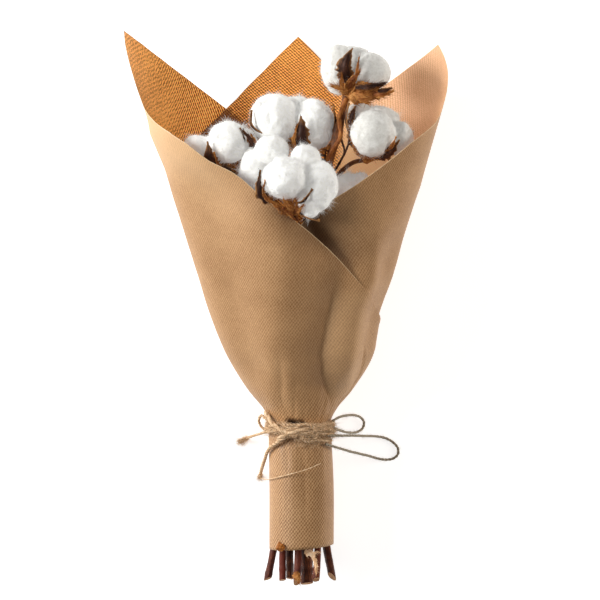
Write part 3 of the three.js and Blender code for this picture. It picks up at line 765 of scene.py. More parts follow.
def crease_noise(degrees, y, around, along, seed):
    """Smooth noise that joins up round the wrap, with features a given size each way."""
    angle = np.radians(degrees)
    return noise_at(np.cos(angle) * around, np.sin(angle) * around, y / along + seed)


def away_from(line, degrees, y, half_width):
    """Millimetres round the wrap from a line down it, less than zero before the line."""
    ys, angles = zip(*sorted(line))
    return np.radians(degrees % 360 - np.interp(y, ys, angles)) * half_width


def flatter_side(degrees, y, half_width):
    """How far the paper lies inside the round where it is stretched flat."""
    depth = 0.0
    for start, end, deep, (above, full, fading, below) in NEARLY_PLANE:
        share = np.clip((degrees % 360 - start) / (end - start), 0, 1)
        depth = depth + deep * np.sin(math.pi * share) ** 2 * ease(above, full, y) * ease(below, fading, y)
    return depth * half_width


def under_flap(degrees, y, half_width):
    """How near a place on the right sheet is to the flap's edge, under which it dives."""
    away = away_from(FLAP_LINE, degrees, y, half_width)
    return np.exp(-((away / FLAP_REACH) ** 2)) * ease(34, 74, y)


def tie_gap(degrees, y):
    """The paper gapes a little above the knot."""
    wide = ease(148, 162, degrees) * ease(206, 184, degrees)
    return np.exp(-(((y + 102.4 + 0.08 * (degrees - 172)) / (0.6 + 2.4 * wide)) ** 2)) * wide


def fuller_side(degrees, y):
    """How far the outline stands out more than the round does."""
    side = np.sin(np.radians(degrees))
    ys, left, right = zip(*FULLER)
    return side**2 * np.where(side > 0, np.interp(y, ys, left), np.interp(y, ys, right))


def fold_depth(degrees, y, half_width):
    """How deep the folds are that run down the wrap."""
    depth = 0.0
    for fold in SOFT_FOLDS:
        start, full, fading, end = fold["fades"]
        away = away_from(fold["line"], degrees, y, half_width)
        share = np.clip(1 - np.abs(away) / np.where(away < 0, fold["before"], fold["after"]), 0, 1)
        section = share**2 * (3 - 2 * share if "round" in fold else 1.6 - 0.6 * share)
        depth = depth + fold["depth"] * ease(start, full, y) * ease(end, fading, y) * section
    return depth


def crease(degrees, y, half_width):
    """How far the paper is pushed inwards at each place."""
    near_tie = np.exp(-(((y - TIE) / 17) ** 2))
    above_tie = np.exp(-np.maximum(0, y - TIE) / 34) * ease(TIE, TIE + 14, y)
    below_tie = np.exp(-np.maximum(0, TIE - y) / 45) * ease(TIE, TIE - 10, y)
    pleat = np.maximum(0, 1 - np.abs(crease_noise(degrees, y, *PLEAT)) * 3.2)
    fine_pleat = np.maximum(0, 1 - np.abs(crease_noise(degrees, y, *FINE_PLEAT)) * 3)
    broad = 0.5 + 0.5 * crease_noise(degrees, y, *SOFT_WAVE)
    fold = np.maximum(0, 1 - np.abs(crease_noise(degrees, y, *SOFT_CREASE)) * 2.6)
    depth = (0.7 * above_tie + 0.5 * below_tie) * pleat
    depth += (0.35 * near_tie + 0.4 * (above_tie + below_tie)) * fine_pleat
    depth += (0.7 * ease(-90, 40, y) + 0.5 * ease(-130, -160, y)) * broad
    depth += 6.0 * tie_gap(degrees, y) + 0.5 * ease(-90, -10, y) * fold**2
    seen_edge = np.abs(np.sin(np.radians(degrees))) ** 5  # the outline keeps its place
    folded = depth * (1 - 0.8 * seen_edge) + fold_depth(degrees, y, half_width)
    return folded + flatter_side(degrees, y, half_width) - fuller_side(degrees, y)


def handle_foot(degrees):
    """The lower edge of the left sheet, cut off at a slant and torn at one place."""
    level = HANDLE_FOOT + HANDLE_FOOT_SLOPE * (on_wrap(degrees, HANDLE_FOOT, 0)[..., 0] - WRAP[0][1])
    return level + NOTCH_DEPTH * np.clip(1 - np.abs(degrees - NOTCH_ANGLE) / NOTCH_HALF_WIDTH, 0, 1)


def inner_foot(degrees):
    return np.full_like(degrees, INNER_FOOT)


def rim_at(rim, degrees):
    return np.interp(degrees, *np.array(rim, float).T)


def close_behind(degrees, y):
    """Where the right sheet lies close under the flap's end, so that the edge hardly shows."""
    return ease(200, 216, degrees) * ease(264, 246, degrees) * ease(48, 20, y)


def sheet_marks(layer, degrees, y, half_width, dark):
    """The marks that the material reads, where layer is 0 for the left sheet, 1 right and 2 back."""
    # painted shade in the gap above the knot
    painted_shade_outside = np.clip(1.1 * tie_gap(degrees, y), 0, 1)
    painted_light_outside = 0.0
    if layer == 0:  # painted shade on the side of the main fold that lies in its shade, painted light on the side that is lit
        from_fold = away_from(SOFT_FOLDS[0]["line"], degrees, y, half_width)
        shaded = ease(-34, -4, from_fold) * ease(12, -2, from_fold) * ease(84, 50, y) * ease(-94, -66, y)
        painted_shade_outside = np.maximum(painted_shade_outside, 0.24 * shaded)
        painted_light_outside = 0.17 * ease(0, 3, from_fold) * ease(48, 26, from_fold) * ease(34, 0, y) * ease(-94, -72, y)
        # painted light on the left sheet just below its rim
        painted_light_outside += 0.4 * ease(80, 5, y[-1] - y) * ease(168, 120, degrees) * ease(60, 100, y)
    # painted shade under the flap's edge, on the right sheet and a little on the left
    painted_shade_outside = np.maximum(painted_shade_outside, (0.4, 0.75, 0)[layer] * under_flap(degrees, y, half_width))
    # a little painted shade on the handle below the tie
    painted_shade_outside = np.maximum(painted_shade_outside, 0.1 * ease(-98, -116, y) * ease(110, 175, degrees))
    rim = np.zeros(y.shape)  # the last row: a painted highlight where the cut edge is seen from outside
    rim[-1] = (ease(84, 98, degrees) - ease(214, 226, degrees) * (degrees < 306), 1, 0)[layer]
    dark[-1] = np.maximum(dark[-1], (0.75 * ease(98, 84, degrees), 0, 0.75)[layer])  # a painted shade line along the cut edge, seen from inside
    # painted light on the right part of the back sheet's inside, where light falls in through the mouth
    lit = 0.8 * ease(-17, -24, degrees) * (layer == 2)
    quiet = 0.5 * ease(-104, -60, y)
    return {"painted_shade": dark, "painted_shade_outside": painted_shade_outside, "painted_light_outside": painted_light_outside, "lit": lit, "quiet": quiet, "rim": rim}


def paper_sheet(name, rim, foot_of, layer, rows_below, rows_above, painted_shade, inside):
    knots = [angle for angle, _ in rim]
    columns = [np.linspace(a, b, math.ceil((b - a) / 2) + 1)[:-1] for a, b in zip(knots, knots[1:])]
    degrees = np.concatenate([*columns, knots[-1:]])
    foot, top = foot_of(degrees), rim_at(rim, degrees)
    below, above = TIED
    low = mix(foot, below, np.linspace(0, 1, rows_below)[:-1, None])
    tied = mix(below, above, np.linspace(0, 1, TIED_ROWS + 1)[:-1, None]) + 0 * foot
    high = mix(above, top - RIM_LINE, np.linspace(0, 1, rows_above)[:, None])
    y = np.vstack([low, tied, high, top])
    left, right = along_wrap(y)[:2]
    half_width = (right - left) / 2
    depth = crease(degrees, y, half_width)
    pitch = mix(LAYER_TIED, LAYER_LOOSE, ease(-90, 10, y))
    if layer == 1:
        pitch = mix(pitch, LAYER_CLOSE, close_behind(degrees, y))
        depth += FLAP_DIP * under_flap(degrees, y, half_width)
    around = np.radians(degrees - (180, 180, 0)[layer]) * half_width
    marks = sheet_marks(layer, degrees, y, half_width, painted_shade(degrees, y))
    made = bent_grid(on_wrap(degrees, y, layer * pitch + depth), np.stack([around, y], axis=-1), **marks)
    bmesh.ops.remove_doubles(made, verts=made.verts, dist=1e-6)
    sheet = piece(name + "_kraft", made, kraft_outside, inside, kraft_edge)
    walls = sheet.modifiers.new("thickness", "SOLIDIFY")
    walls.thickness = PAPER * MM
    walls.offset = -1
    walls.material_offset = 1
    walls.material_offset_rim = 2
    stands_for(sheet, name)
    print(name, triangles_of(sheet), "triangles")


def left_painted_shade(degrees, y):
    """The left sheet's inside has painted shade low down, where cotton keeps the light off, and past its
    corner, below the tip; the corner stays lit through.
    """
    return 0.8 * ease(150, 100, y) + 0.45 * ease(68, 90, degrees) * ease(238, 200, y)


def back_painted_shade(degrees, y):
    """The back sheet's inside has painted shade where the left one lies behind it and keeps the light out,
    and low down.
    """
    behind = rim_at(LEFT_RIM, np.mod(degrees, 360))
    return np.maximum(0.8 * ease(0, 2.5, behind - y) * (degrees > 8), 0.7 * ease(115, 60, y))


def right_painted_shade(degrees, y):
    """The right sheet's inside is in the light, with painted shade only low down and at its far side."""
    return 0.35 * ease(185, 140, y) * ease(300, 275, degrees) + 0.6 * ease(110, 50, y)


paper_sheet("wrap_left", LEFT_RIM, handle_foot, 0, 32, 70, left_painted_shade, kraft_glowing)
paper_sheet("wrap_right", RIGHT_RIM, inner_foot, 1, 4, 70, right_painted_shade, kraft_inside_painted_light)
paper_sheet("wrap_back", BACK_RIM, inner_foot, 2, 4, 66, back_painted_shade, kraft_behind)

# %% [markdown]
# Cotton bark dries to a dark brown with long cracks and streaks, redder on some stems, and lighter
# and drier towards the bolls. The streaks follow the stem, so they read the bark's UV map, which is
# long along the stem and short round it. The cut ends show pale wood. The dry valves of the boll are
# nearly black inside, with tan fibrous edges. Thin husk and the pale fibre glow a little: painted
# light for the light that comes through them, which lifts them in the shade. Marks on the mesh say
# where each tint goes.

# %% Bark, wood and husk
def streaked(name, dark, middle, light, streak, rough, height, tints=(), glow=0.0):
    """Dry plant skin with streaks along its UV map. tints are (mark, colour) pairs to blend in."""
    material, place = new_material(name)
    inputs = {"Vector": place["UV"], "Scale": (1 / streak, 0.12 / streak, 1)}
    streaks = noise_node(material, add_node(material, "Mapping", inputs).outputs["Vector"], 1.0, 5, 0.7)
    patches = noise_node(material, place["Object"], features(9), 3, 0.6)
    tone = mixed(material, 0.35, streaks, patches)
    seen = ramp(material, tone, (0.36, dark), (0.66, light), middle)
    for mark, tint in tints:  # with a ragged edge, as the tone takes part in it
        inputs = {0: marked(material, mark), 1: 1.0, 2: tone}
        ragged = add_node(material, "Math", inputs, operation="MULTIPLY_ADD").outputs["Value"]
        band = add_node(material, "MapRange", {"Value": ragged, "From Min": 0.62, "From Max": 1.4})
        seen = mixed(material, band.outputs["Result"], seen, tint)
    # painted light: the skin glows a little in its own colour
    if glow:
        finish(material, Emission_Color=seen, Emission_Strength=glow)
    return finish(
        material,
        Base_Color=seen,
        Normal=relief(material, tone, 0.8, height),
        Roughness=rough,
        Specular_IOR_Level=0.35,
    )


TAN_EDGE = [("edge", "9a6a38")]
bark_tints = [("ruddy", "702a18"), ("dry", "ae6e34")]
bark = streaked("cotton_bark", "1c0b06", "4c2413", "a8683a", 0.8, 0.5, 1.1, bark_tints)
dark_husk = streaked("dry_valve", "1a0b06", "381a0d", "63351a", 0.9, 0.62, 0.5, TAN_EDGE)
# the glow of the rusty and fibrous husk is painted light that lifts them in the shade
rusty_husk = streaked("rusty_husk", "2c1208", "804418", "c88440", 0.7, 0.7, 0.5, [("edge", "c88c4a")], 0.12)
burr_husk = streaked("fibrous_burr", "3d1e0c", "965a26", "deaa66", 0.6, 0.8, 0.6, [("edge", "b0763a")], 0.16)
# pale fibre of its own, lightened further and made to glow: painted light on the peeled strip, which lies in
# shade
pale_husk = streaked("pale_fibre", "b0804e", "e4bc92", "fae6cc", 0.7, 0.8, 0.5, glow=0.16)
cut_wood = streaked("cut_wood", "8a5a38", "c99468", "efcca4", 0.7, 0.8, 0.3)
print("bark, husk, burr and cut wood are ready")

# %% [markdown]
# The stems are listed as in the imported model: where the cup of the burr sits and which way it
# opens, the route down through the wrap to the cut end, and the locks and valves of the boll. The
# wood is a rolled grid whose radius swells at the old leaf scars and is ribbed like bark. The foot
# is cut off at a slant with a bisect plane, as secateurs leave it, and the cut face gets pale wood.

# %% Stems
BUNDLE = {"x": 12.8, "y": -112, "z": 29.5, "pitch": 8.2}  # the stems where the twine holds them
STEMS = [
    {
        "name": "a", "cup": {"at": (54.4, 197, 72), "towards": (62, 222, 77), "radius": 13, "height": 9},
        "route": [(51.4, 183, 79), (45.4, 160.3, 88), (38.7, 135.5, 88), (33, 105, 80), (24, 30, 56)],
        "slot": None, "mouth": (18.9, -214, 30), "foot": (18.9, -251, 32),
        "cut": (0.1, 0.3), "ruddy": 0.25, "radii": (5.4, 3.9, 3.2),
        "locks": [
            (48.2, 218.6, 74, 16.8, 22.4, 17), (74.7, 216, 72, 18.9, 17.6, 18),
            (61.2, 225.6, 58, 16.2, 12.6, 15), (66.6, 207.4, 56, 17.1, 13.5, 15),
        ],
        "valves": [((92, 212, 76), (84, 202, 78), 4.5)],
        "leaves": [
            ((54.9, 202.7, 84), (52.6, 222.5, 95), (59.4, 238.5, 92), 7.4, dark_husk, 20),
            ((60.5, 203.7, 88), (63.6, 218.7, 96), (65.2, 230.3, 94), 1.5, rusty_husk, 24),
            ((53.1, 199.4, 78), (68.4, 196, 90), (92.7, 196.2, 82), 6.2, burr_husk, 340),
            ((54.9, 198.7, 80), (60.3, 193.8, 86), (73.8, 188.6, 78), 4.6, burr_husk, 220),
            ((55.8, 200.7, 82), (70.2, 203.4, 92), (86.4, 205, 90), 4.6, burr_husk, 260),
            ((74, 196.5, 86), (86.6, 198.6, 92), (96.6, 199.4, 86), 4.4, rusty_husk, 40),
            ((82, 199.5, 92), (89, 200.5, 94), (95, 202.4, 90), 2.4, dark_husk, 0),
            ((57, 197.9, 82), (48.6, 202, 88), (41, 204, 84), 3.6, burr_husk, 200),
            ((56, 200, 84), (50, 206, 92), (50, 214, 92), 2.6, burr_husk, 120),
            ((55.8, 200.8, 84), (59.4, 209.7, 93), (65.7, 217, 94), 3.4, rusty_husk, 140),
            ((62, 203, 92), (73.8, 203.9, 97), (87, 206.7, 94), 2.2, dark_husk, 300),
        ],
    },
    {
        "name": "b", "cup": {"at": (15.3, 143.8, 68), "towards": (9, 172, 78), "radius": 11, "height": 11},
        "route": [(19, 122, 64), (15, 30, 40)],
        "slot": -90, "mouth": (3.6, -214, 22), "foot": (3.2, -248, 20),
        "cut": (-0.2, 0.3), "ruddy": 0, "radii": (3.2, 3.7, 2),
        "locks": [
            (-9.9, 174.8, 80, 22.5, 22, 21), (24.3, 168.4, 78, 18.9, 23.5, 20),
            (8.1, 179, 64, 20, 14.5, 16), (8.1, 168.1, 60, 19.8, 19.8, 17),
        ],
        "valves": [
            ((-31, 183, 92), (-30.5, 169, 95), 4.5),
            ((41.5, 187, 92), (42.5, 165, 80), 4.5), ((20, 190, 44), (16, 168, 42), 6),
        ],
        "leaves": [
            ((10.8, 144.7, 90), (13.5, 160, 101), (13.5, 178.1, 102), 7.4, dark_husk, 20),
            ((9.4, 145.8, 92), (6.9, 156.3, 102), (10.4, 170.5, 103), 1.7, burr_husk, 30),
            ((19.8, 138.6, 82), (14.4, 144.9, 93), (7.2, 152.4, 96), 3, burr_husk, 90),
            ((21.6, 137.7, 82), (27.9, 144, 93), (38.7, 150.1, 90), 3.2, burr_husk, 120),
        ],
    },
    {
        "name": "c", "cup": {"at": (-50.4, 126.5, 76), "towards": (-53, 152, 87), "radius": 10, "height": 10},
        "route": [(-40, 100, 68), (-15, 30, 47)],
        "slot": 210, "mouth": (-10.4, -214, 32), "foot": (-16.7, -247, 30),
        "cut": (0.3, 0.4), "ruddy": 0.45, "radii": (3.2, 3.7, 2),
        "locks": [
            (-52.2, 153.7, 90, 18, 18.9, 18), (-77.6, 147.8, 84, 14.5, 13, 13),
            (-36, 152.5, 81, 10.5, 12.6, 11), (-55.8, 144, 72, 16.2, 13.5, 14),
        ],
        "valves": [((-40.5, 167.5, 99), (-36, 150, 95), 4), ((-62, 160, 56), (-58, 142, 57), 6)],
        "leaves": [
            ((-46, 121, 92), (-65.5, 133.5, 104), (-69.8, 155.6, 107), 9, dark_husk, 30),
            ((-46.6, 124.8, 94), (-58.6, 132.2, 106), (-64.1, 146.5, 108), 1.8, rusty_husk, 14),
            ((-29, 144, 92), (-31, 155, 99), (-38.5, 165.5, 98), 3.2, dark_husk, 24),
            ((-28, 145, 92), (-26.5, 153, 98), (-31.5, 161.5, 98), 1.4, rusty_husk, 14),
        ],
    },
    {
        "name": "d", "cup": {"at": (4.6, 97.5, 108), "towards": (8, 125, 118), "radius": 12, "height": 11},
        "route": [(9.9, 83, 104), (13, 30, 76)],
        "slot": 90, "mouth": (11.3, -214, 40), "foot": (9.9, -248.3, 42),
        "cut": (0.25, 1.1), "ruddy": 0.6, "radii": (3.2, 3.7, 2.2),
        "locks": [
            (-0.9, 124.5, 127, 19.8, 18.9, 20), (28.8, 119, 119, 18, 20, 18), (21, 103, 121, 10.5, 15, 11),
            (28, 108, 119, 13, 14, 13),
            (17.1, 140.3, 112, 13.5, 12.6, 14), (10.8, 116.4, 106, 16.2, 16.2, 14),
        ],
        "valves": [((24, 115, 137), (16, 104, 133), 3.5), ((30, 86, 130), (18, 89, 124), 3)],
        "leaves": [
            ((-9, 97.6, 118), (-23.4, 115.2, 134), (-22.5, 132.3, 134), 4.6, dark_husk, 20),
            ((-10.8, 99.6, 120), (-19.8, 111.8, 136), (-18, 124.4, 136), 1.6, rusty_husk, 16),
            ((5.5, 91, 116), (-5.4, 98.2, 132), (-15.3, 105.8, 137), 3.4, burr_husk, 150),
            ((5.9, 91, 116), (3.5, 98.4, 134), (-1.8, 105.6, 139), 3, burr_husk, 130),
            ((6.3, 91, 116), (9.6, 98, 132), (8.8, 105.3, 137), 2.6, rusty_husk, 90),
            ((6.3, 91.5, 116), (11.6, 96, 131), (15.8, 101.5, 133), 2.4, burr_husk, 90),
            ((-3.2, 99, 134), (4.2, 91.5, 124), (9.6, 83.5, 108), 1.3, rusty_husk, 24),
        ],
    },
    {
        "name": "e", "cup": {"at": (-16.2, 104, 86), "towards": (-19, 130, 97), "radius": 8, "height": 8},
        "route": [(-11, 84, 76), (0, 30, 57)],
        "slot": 150, "mouth": (-2.7, -214, 38), "foot": (-3.2, -247, 38),
        "cut": (0.1, 0.4), "ruddy": 0.9, "radii": (3, 3.7, 2),
        "locks": [
            (-12.6, 147.7, 104, 15.3, 13.5, 14), (-28.8, 127.4, 98, 13.5, 22.5, 14),
            (-18, 132.8, 88, 13.5, 14.4, 13),
        ],
        "valves": [((-40, 104, 96), (-30, 101, 92), 4), ((-8, 128, 74), (-12, 115, 78), 4.5)],
    },
    {
        "name": "f", "cup": {"at": (72, 137.5, 80), "towards": (80, 162, 86), "radius": 11, "height": 10},
        "route": [(60.3, 135.2, 80), (46, 122, 76), (38, 95, 64), (29, 30, 45)],
        "slot": -30, "mouth": (36, -214, 23), "foot": (41.7, -246.5, 18),
        "cut": (-0.5, 0.8), "ruddy": 0.3, "radii": (3.4, 3.7, 1.9),
        "locks": [
            (77.4, 162.1, 94, 20.6, 21.6, 19), (103.6, 155.6, 84, 10.4, 16.4, 13),
            (67.5, 177.5, 64, 13.5, 9.9, 12), (84.6, 167.4, 72, 18, 17.1, 15),
        ],
        "valves": [((55.5, 189, 88), (54, 170, 86), 4.5), ((80, 182, 54), (78, 160, 58), 6)],
        "leaves": [
            ((79.2, 140, 88), (91.8, 145.7, 102), (100.8, 157, 108), 5.6, dark_husk, 40),
            ((88.2, 143.4, 96), (94.5, 151.6, 107), (98.1, 159.9, 110), 2.2, rusty_husk, 20),
            ((66.6, 143.4, 86), (57.6, 159.7, 97), (59.4, 175.2, 100), 3.6, dark_husk, 60),
            ((57.6, 167.8, 97), (58.5, 177.1, 100), (62.1, 186.6, 96), 3.4, dark_husk, 30),
            ((68.4, 140.7, 86), (63, 148, 97), (57.6, 157.1, 98), 2.6, burr_husk, 60),
            ((70.2, 140.9, 88), (78.3, 142.7, 98), (90, 147.6, 103), 2.8, rusty_husk, 80),
        ],
    },
    {
        "name": "g", "cup": {"at": (46.8, 93, 80), "towards": (54, 112, 89), "radius": 8, "height": 8},
        "route": [(42, 74, 72), (33, 30, 58)],
        "slot": 30, "mouth": (28.4, -214, 42), "foot": (27.3, -245.7, 46),
        "cut": (0.2, 0.8), "ruddy": 0.5, "radii": (3, 3.7, 2),
        "locks": [
            (56.6, 112.3, 92, 15.2, 14.3, 14), (67.3, 117.3, 88, 8.9, 9.4, 10),
            (54, 105.4, 84, 12.6, 10.8, 11),
        ],
        "valves": [((72, 100, 98), (64, 97, 92), 4), ((58, 124, 70), (54, 107, 71), 4.5)],
    },
]
STEM_STEP = 1.6  # from ring to ring of the wood
BARK_SIDES = 16
SCAR_SPACING = 31  # between old leaf scars
TWISTED = {"a": (60, 178)}  # the stem of boll a looks like two strands twisted between these y


def stem_line(stem):
    """The way of a stem from its cut end through the tie to its boll."""
    angle = math.radians(stem["slot"] or 0)
    pitch = 0 if stem["slot"] is None else BUNDLE["pitch"]
    tied = (BUNDLE["x"] + pitch * math.cos(angle), BUNDLE["y"], BUNDLE["z"] + pitch * math.sin(angle))
    return soft_line([stem["foot"], stem["mouth"], tied, *stem["route"][::-1], stem["cup"]["at"]], STEM_STEP)


def stem_wood(stem, draw):
    """The woody stem, with its foot cut at a slant."""
    line = stem_line(stem)
    line = np.vstack([line[0] + (line[0] - line[1]) * np.array([[3], [2], [1]]), line])
    foot, tied, top = stem["radii"]
    y = line[:, 1]
    share = np.clip((y - y[0]) / (BUNDLE["y"] - y[0]), 0, 1)
    upper = np.clip((y - BUNDLE["y"]) / (y[-1] - BUNDLE["y"]), 0, 1)
    main = mix(mix(foot, tied, share), top, upper)
    along = np.arange(len(line)) * STEM_STEP
    scars = np.zeros(len(line))
    for scar in np.arange(draw.uniform(4, 20), along[-1], SCAR_SPACING):
        scars += draw.uniform(0.05, 0.16) * np.exp(-(((along - scar - draw.uniform(-5, 5)) / 1.8) ** 2))
    turn = np.linspace(0, 2 * math.pi, BARK_SIDES + 1)
    ribs = noise_at(np.cos(turn) * 2.2, np.sin(turn) * 2.2, along[:, None] / 22 + ord(stem["name"]))
    radius = main[:, None] * (1 + scars[:, None] + 0.24 * ribs)
    if stem["name"] in TWISTED:
        low, high = TWISTED[stem["name"]]
        strands = ease(low, low + 25, y) * (1 - ease(high - 8, high, y))
        radius *= 1 + strands[:, None] * (0.3 * np.abs(np.cos(turn[None] - along[:, None] / 13)) - 0.08)
    dry = 0.3 * ease(-40, 130, y)[:, None]
    ruddy = 0.9 * stem["ruddy"] * (1 - ease(-60, 60, y))[:, None]
    made = closed_tube(line, radius, dry=dry, ruddy=ruddy)
    slant = Vector((stem["cut"][0], -1, stem["cut"][1])).normalized()
    whole = made.verts[:] + made.edges[:] + made.faces[:]
    at = Vector(stem["foot"]) * MM
    cut = bmesh.ops.bisect_plane(made, geom=whole, plane_co=at, plane_no=slant, clear_outer=True, dist=1e-7)
    edges = [part for part in cut["geom_cut"] if isinstance(part, bmesh.types.BMEdge)]
    ends = bmesh.ops.contextual_create(made, geom=edges)["faces"]
    for end in ends:
        end.material_index = 1
    bmesh.ops.inset_individual(made, faces=ends, thickness=0.7 * MM, depth=-0.25 * MM)
    bmesh.ops.recalc_face_normals(made, faces=made.faces)
    return made


print(len(STEMS), "stems are listed")

# %% [markdown]
# The burr is what is left of the green boll: a cup that splits into dry pointed valves, with
# shredded fibre on its underside. The cup is a rolled grid that opens like a bowl. Each valve is a
# grid bent like a boat over three points, with a ragged outline, made thick with the solidify
# operator. Small splinters and coarse fibres cover the join, as on a real dried burr. Some stems
# have been rubbed or torn as well, and carry loose strips, peeled bark or a split end.

# %% Burrs
CUP_SIDES = 40
CUP_SINK = 3  # how far the cup reaches down over its stem
VALVE_ROOT = 0.12  # where a valve starts, from the cup's foot to the middle of the boll
VALVE_START = 0.16  # the part of a half sine that its outline leaves out at the root
VALVE_FULLNESS = 0.85
VALVE_HOLLOW = 0.28


def cup_axis(stem):
    """Where the cup sits and which way it opens."""
    at = np.array(stem["cup"]["at"], float)
    return at, unit(np.array(stem["cup"]["towards"], float) - at)


def outwards(axis, turn):
    """Directions that point away from the axis, one for each turn round it."""
    side = unit(np.cross(axis, [0.3, 0.2, 1.0]))
    return side * np.cos(turn) + np.cross(axis, side) * np.sin(turn)


def bowl_radius(stem, share):
    """The cup's radius from its foot, where share is 0, to its mouth."""
    return mix(stem["radii"][2] + 0.6, stem["cup"]["radius"], np.sin(share * math.pi / 2) ** 1.2)


def burr_cup(stem, draw):
    """The bowl at the foot of the boll, ribbed where its valves grew together."""
    at, axis = cup_axis(stem)
    line = evenly(np.array([at - CUP_SINK * axis, at + stem["cup"]["height"] * axis]), 0.8)
    share = np.linspace(0, 1, len(line))[:, None]
    turn = np.linspace(0, 2 * math.pi, CUP_SIDES + 1)[None, :]
    seam = draw.uniform(0, 6)
    ribs = 0.07 * np.cos(5 * turn + seam) + 0.03 * np.cos(13 * turn + seam)
    ribs = ribs + 0.03 * np.cos(23 * turn + 4 * share)
    radius = bowl_radius(stem, share) * (0.97 + ribs * share)
    return piece("cup", closed_tube(line, radius), burr_husk)


def order_walls(made, sides):
    """Puts the faces after the first sides in a fixed order, as solidify makes them in any order."""
    made.verts.index_update()
    made.faces.index_update()
    count = len(made.verts)

    def rank(face):
        if face.index < sides:
            return face.index
        numbers = [vert.index for vert in face.verts]
        return sides + min(numbers) * count + max(numbers)

    made.faces.sort(key=rank)


def leaf(root, belly, tip, heart, half_width, draw, skin, rows=26, columns=13, thickness=0.8, ragged=0.35):
    """A dry leaf bent over three points, hollow towards heart, with a ragged outline."""
    line = soft_line([root, belly, tip], 0.25)
    line = line[np.linspace(0, len(line) - 1, rows).round().astype(int)]
    along = unit(np.gradient(line, axis=0))
    across = unit(np.cross(along, line - heart))
    out = unit(np.cross(across, along))
    share = np.linspace(0, 1, rows)[:, None]
    place = np.linspace(-1, 1, columns)[None, :]
    width = np.maximum(half_width * np.sin(math.pi * mix(VALVE_START, 1, share**VALVE_FULLNESS)), 0.35)
    seed = draw.uniform(0, 50)
    torn = noise_at(share * 11, place * 0.8, seed) + 0.6 * noise_at(share * 31, place, seed + 5)
    waves = noise_at(share * 4, place * 2, seed + 9)
    hollow = VALVE_HOLLOW * width
    rise = 0.4 * hollow - 1.4 * hollow * np.abs(place) ** 1.6 + 0.9 * waves + 0.2
    sideways = width * (place + ragged * torn * np.abs(place))
    points = line[:, None] + across[:, None] * sideways[..., None] + out[:, None] * rise[..., None]
    flat = np.stack(np.broadcast_arrays(sideways, share * along_of(line)[-1]), axis=-1)
    made = bent_grid(points, flat, edge=np.maximum(np.abs(place) ** 4, share**8))
    bmesh.ops.recalc_face_normals(made, faces=made.faces)
    bmesh.ops.solidify(made, geom=made.faces[:], thickness=thickness * MM)
    bmesh.ops.recalc_face_normals(made, faces=made.faces)
    order_walls(made, 2 * (rows - 1) * (columns - 1))
    return piece("leaf", made, skin)


def valve(stem, tip, belly, half_width, draw, skin=None, **shape):
    """A dry pointed valve, bent from the cup over its belly to its tip."""
    at, heart = np.array(stem["cup"]["at"], float), np.array(stem["cup"]["towards"], float)
    return leaf(mix(at, heart, VALVE_ROOT), belly, tip, heart, half_width, draw, skin or dark_husk, **shape)


def burr_splinters(stem, draw, count):
    """Small pointed bits of husk that stand round the cup and hold the cotton from below."""
    at, axis = cup_axis(stem)
    radius, height = stem["cup"]["radius"], stem["cup"]["height"]
    for turn in np.linspace(0, 2 * math.pi, count, endpoint=False) + draw.uniform(-0.15, 0.15, count):
        out = outwards(axis, turn)
        reach = draw.uniform(2, 7)
        belly = at + axis * height * draw.uniform(0.6, 0.95) + out * radius * draw.uniform(1.05, 1.2)
        tip = at + axis * (height + reach) + out * (radius * draw.uniform(1.15, 1.5) + reach * 0.3)
        half_width = draw.uniform(1.2, 2.6)
        yield valve(stem, tip, belly, half_width, draw, burr_husk, rows=9, columns=5, thickness=0.5)


def burr_fibres(stem, draw, count):
    """Coarse shreds on the underside of the cup, from the stem outwards."""
    at, axis = cup_axis(stem)
    out = outwards(axis, draw.uniform(0, 2 * math.pi, count)[:, None])
    share = draw.uniform(0.0, 0.75, count)[:, None]
    roots = at + axis * mix(-CUP_SINK, stem["cup"]["height"], share) + out * bowl_radius(stem, share) * 0.96
    ahead = axis + out * 0.75 + draw.normal(0, 0.22, (count, 3))
    aside = 0.3 * axis - 0.1 * out + draw.normal(0, 0.16, (count, 3))
    lengths = draw.uniform(4, 10, count)
    return fibres("shreds", roots, ahead, aside, lengths, draw.uniform(0.35, 0.8, count), burr_husk)


def shreds_on(part, root, tip, skin, count, draw):
    """Coarse shreds combed along a leaf of the burr, which stand off towards its tip."""
    roots, out = scattered(part, count, draw)
    combed = unit(np.array(tip, float) - root)
    ahead = combed + draw.normal(0, 0.34, (count, 3)) + np.array([0, 0.1, 0.22])
    aside = draw.normal(0, 0.25, (count, 3))
    lengths, widths = draw.uniform(2.2, 7, count), draw.uniform(0.3, 0.75, count)
    return fibres("leaf_shreds", roots + 0.2 * out, ahead, aside, lengths, widths, skin)


def open_leaf(root, belly, tip, half_width, skin, shreds, draw):
    """A leaf of the burr that shows its face to the front, with the shreds on it."""
    under = np.array(belly, float) - (0, 0, 40)
    part = leaf(root, belly, tip, under, half_width, draw, skin, rows=34, columns=15, ragged=0.6)
    if not shreds:
        return [part]
    return [part, shreds_on(part, root, tip, skin, shreds, draw)]


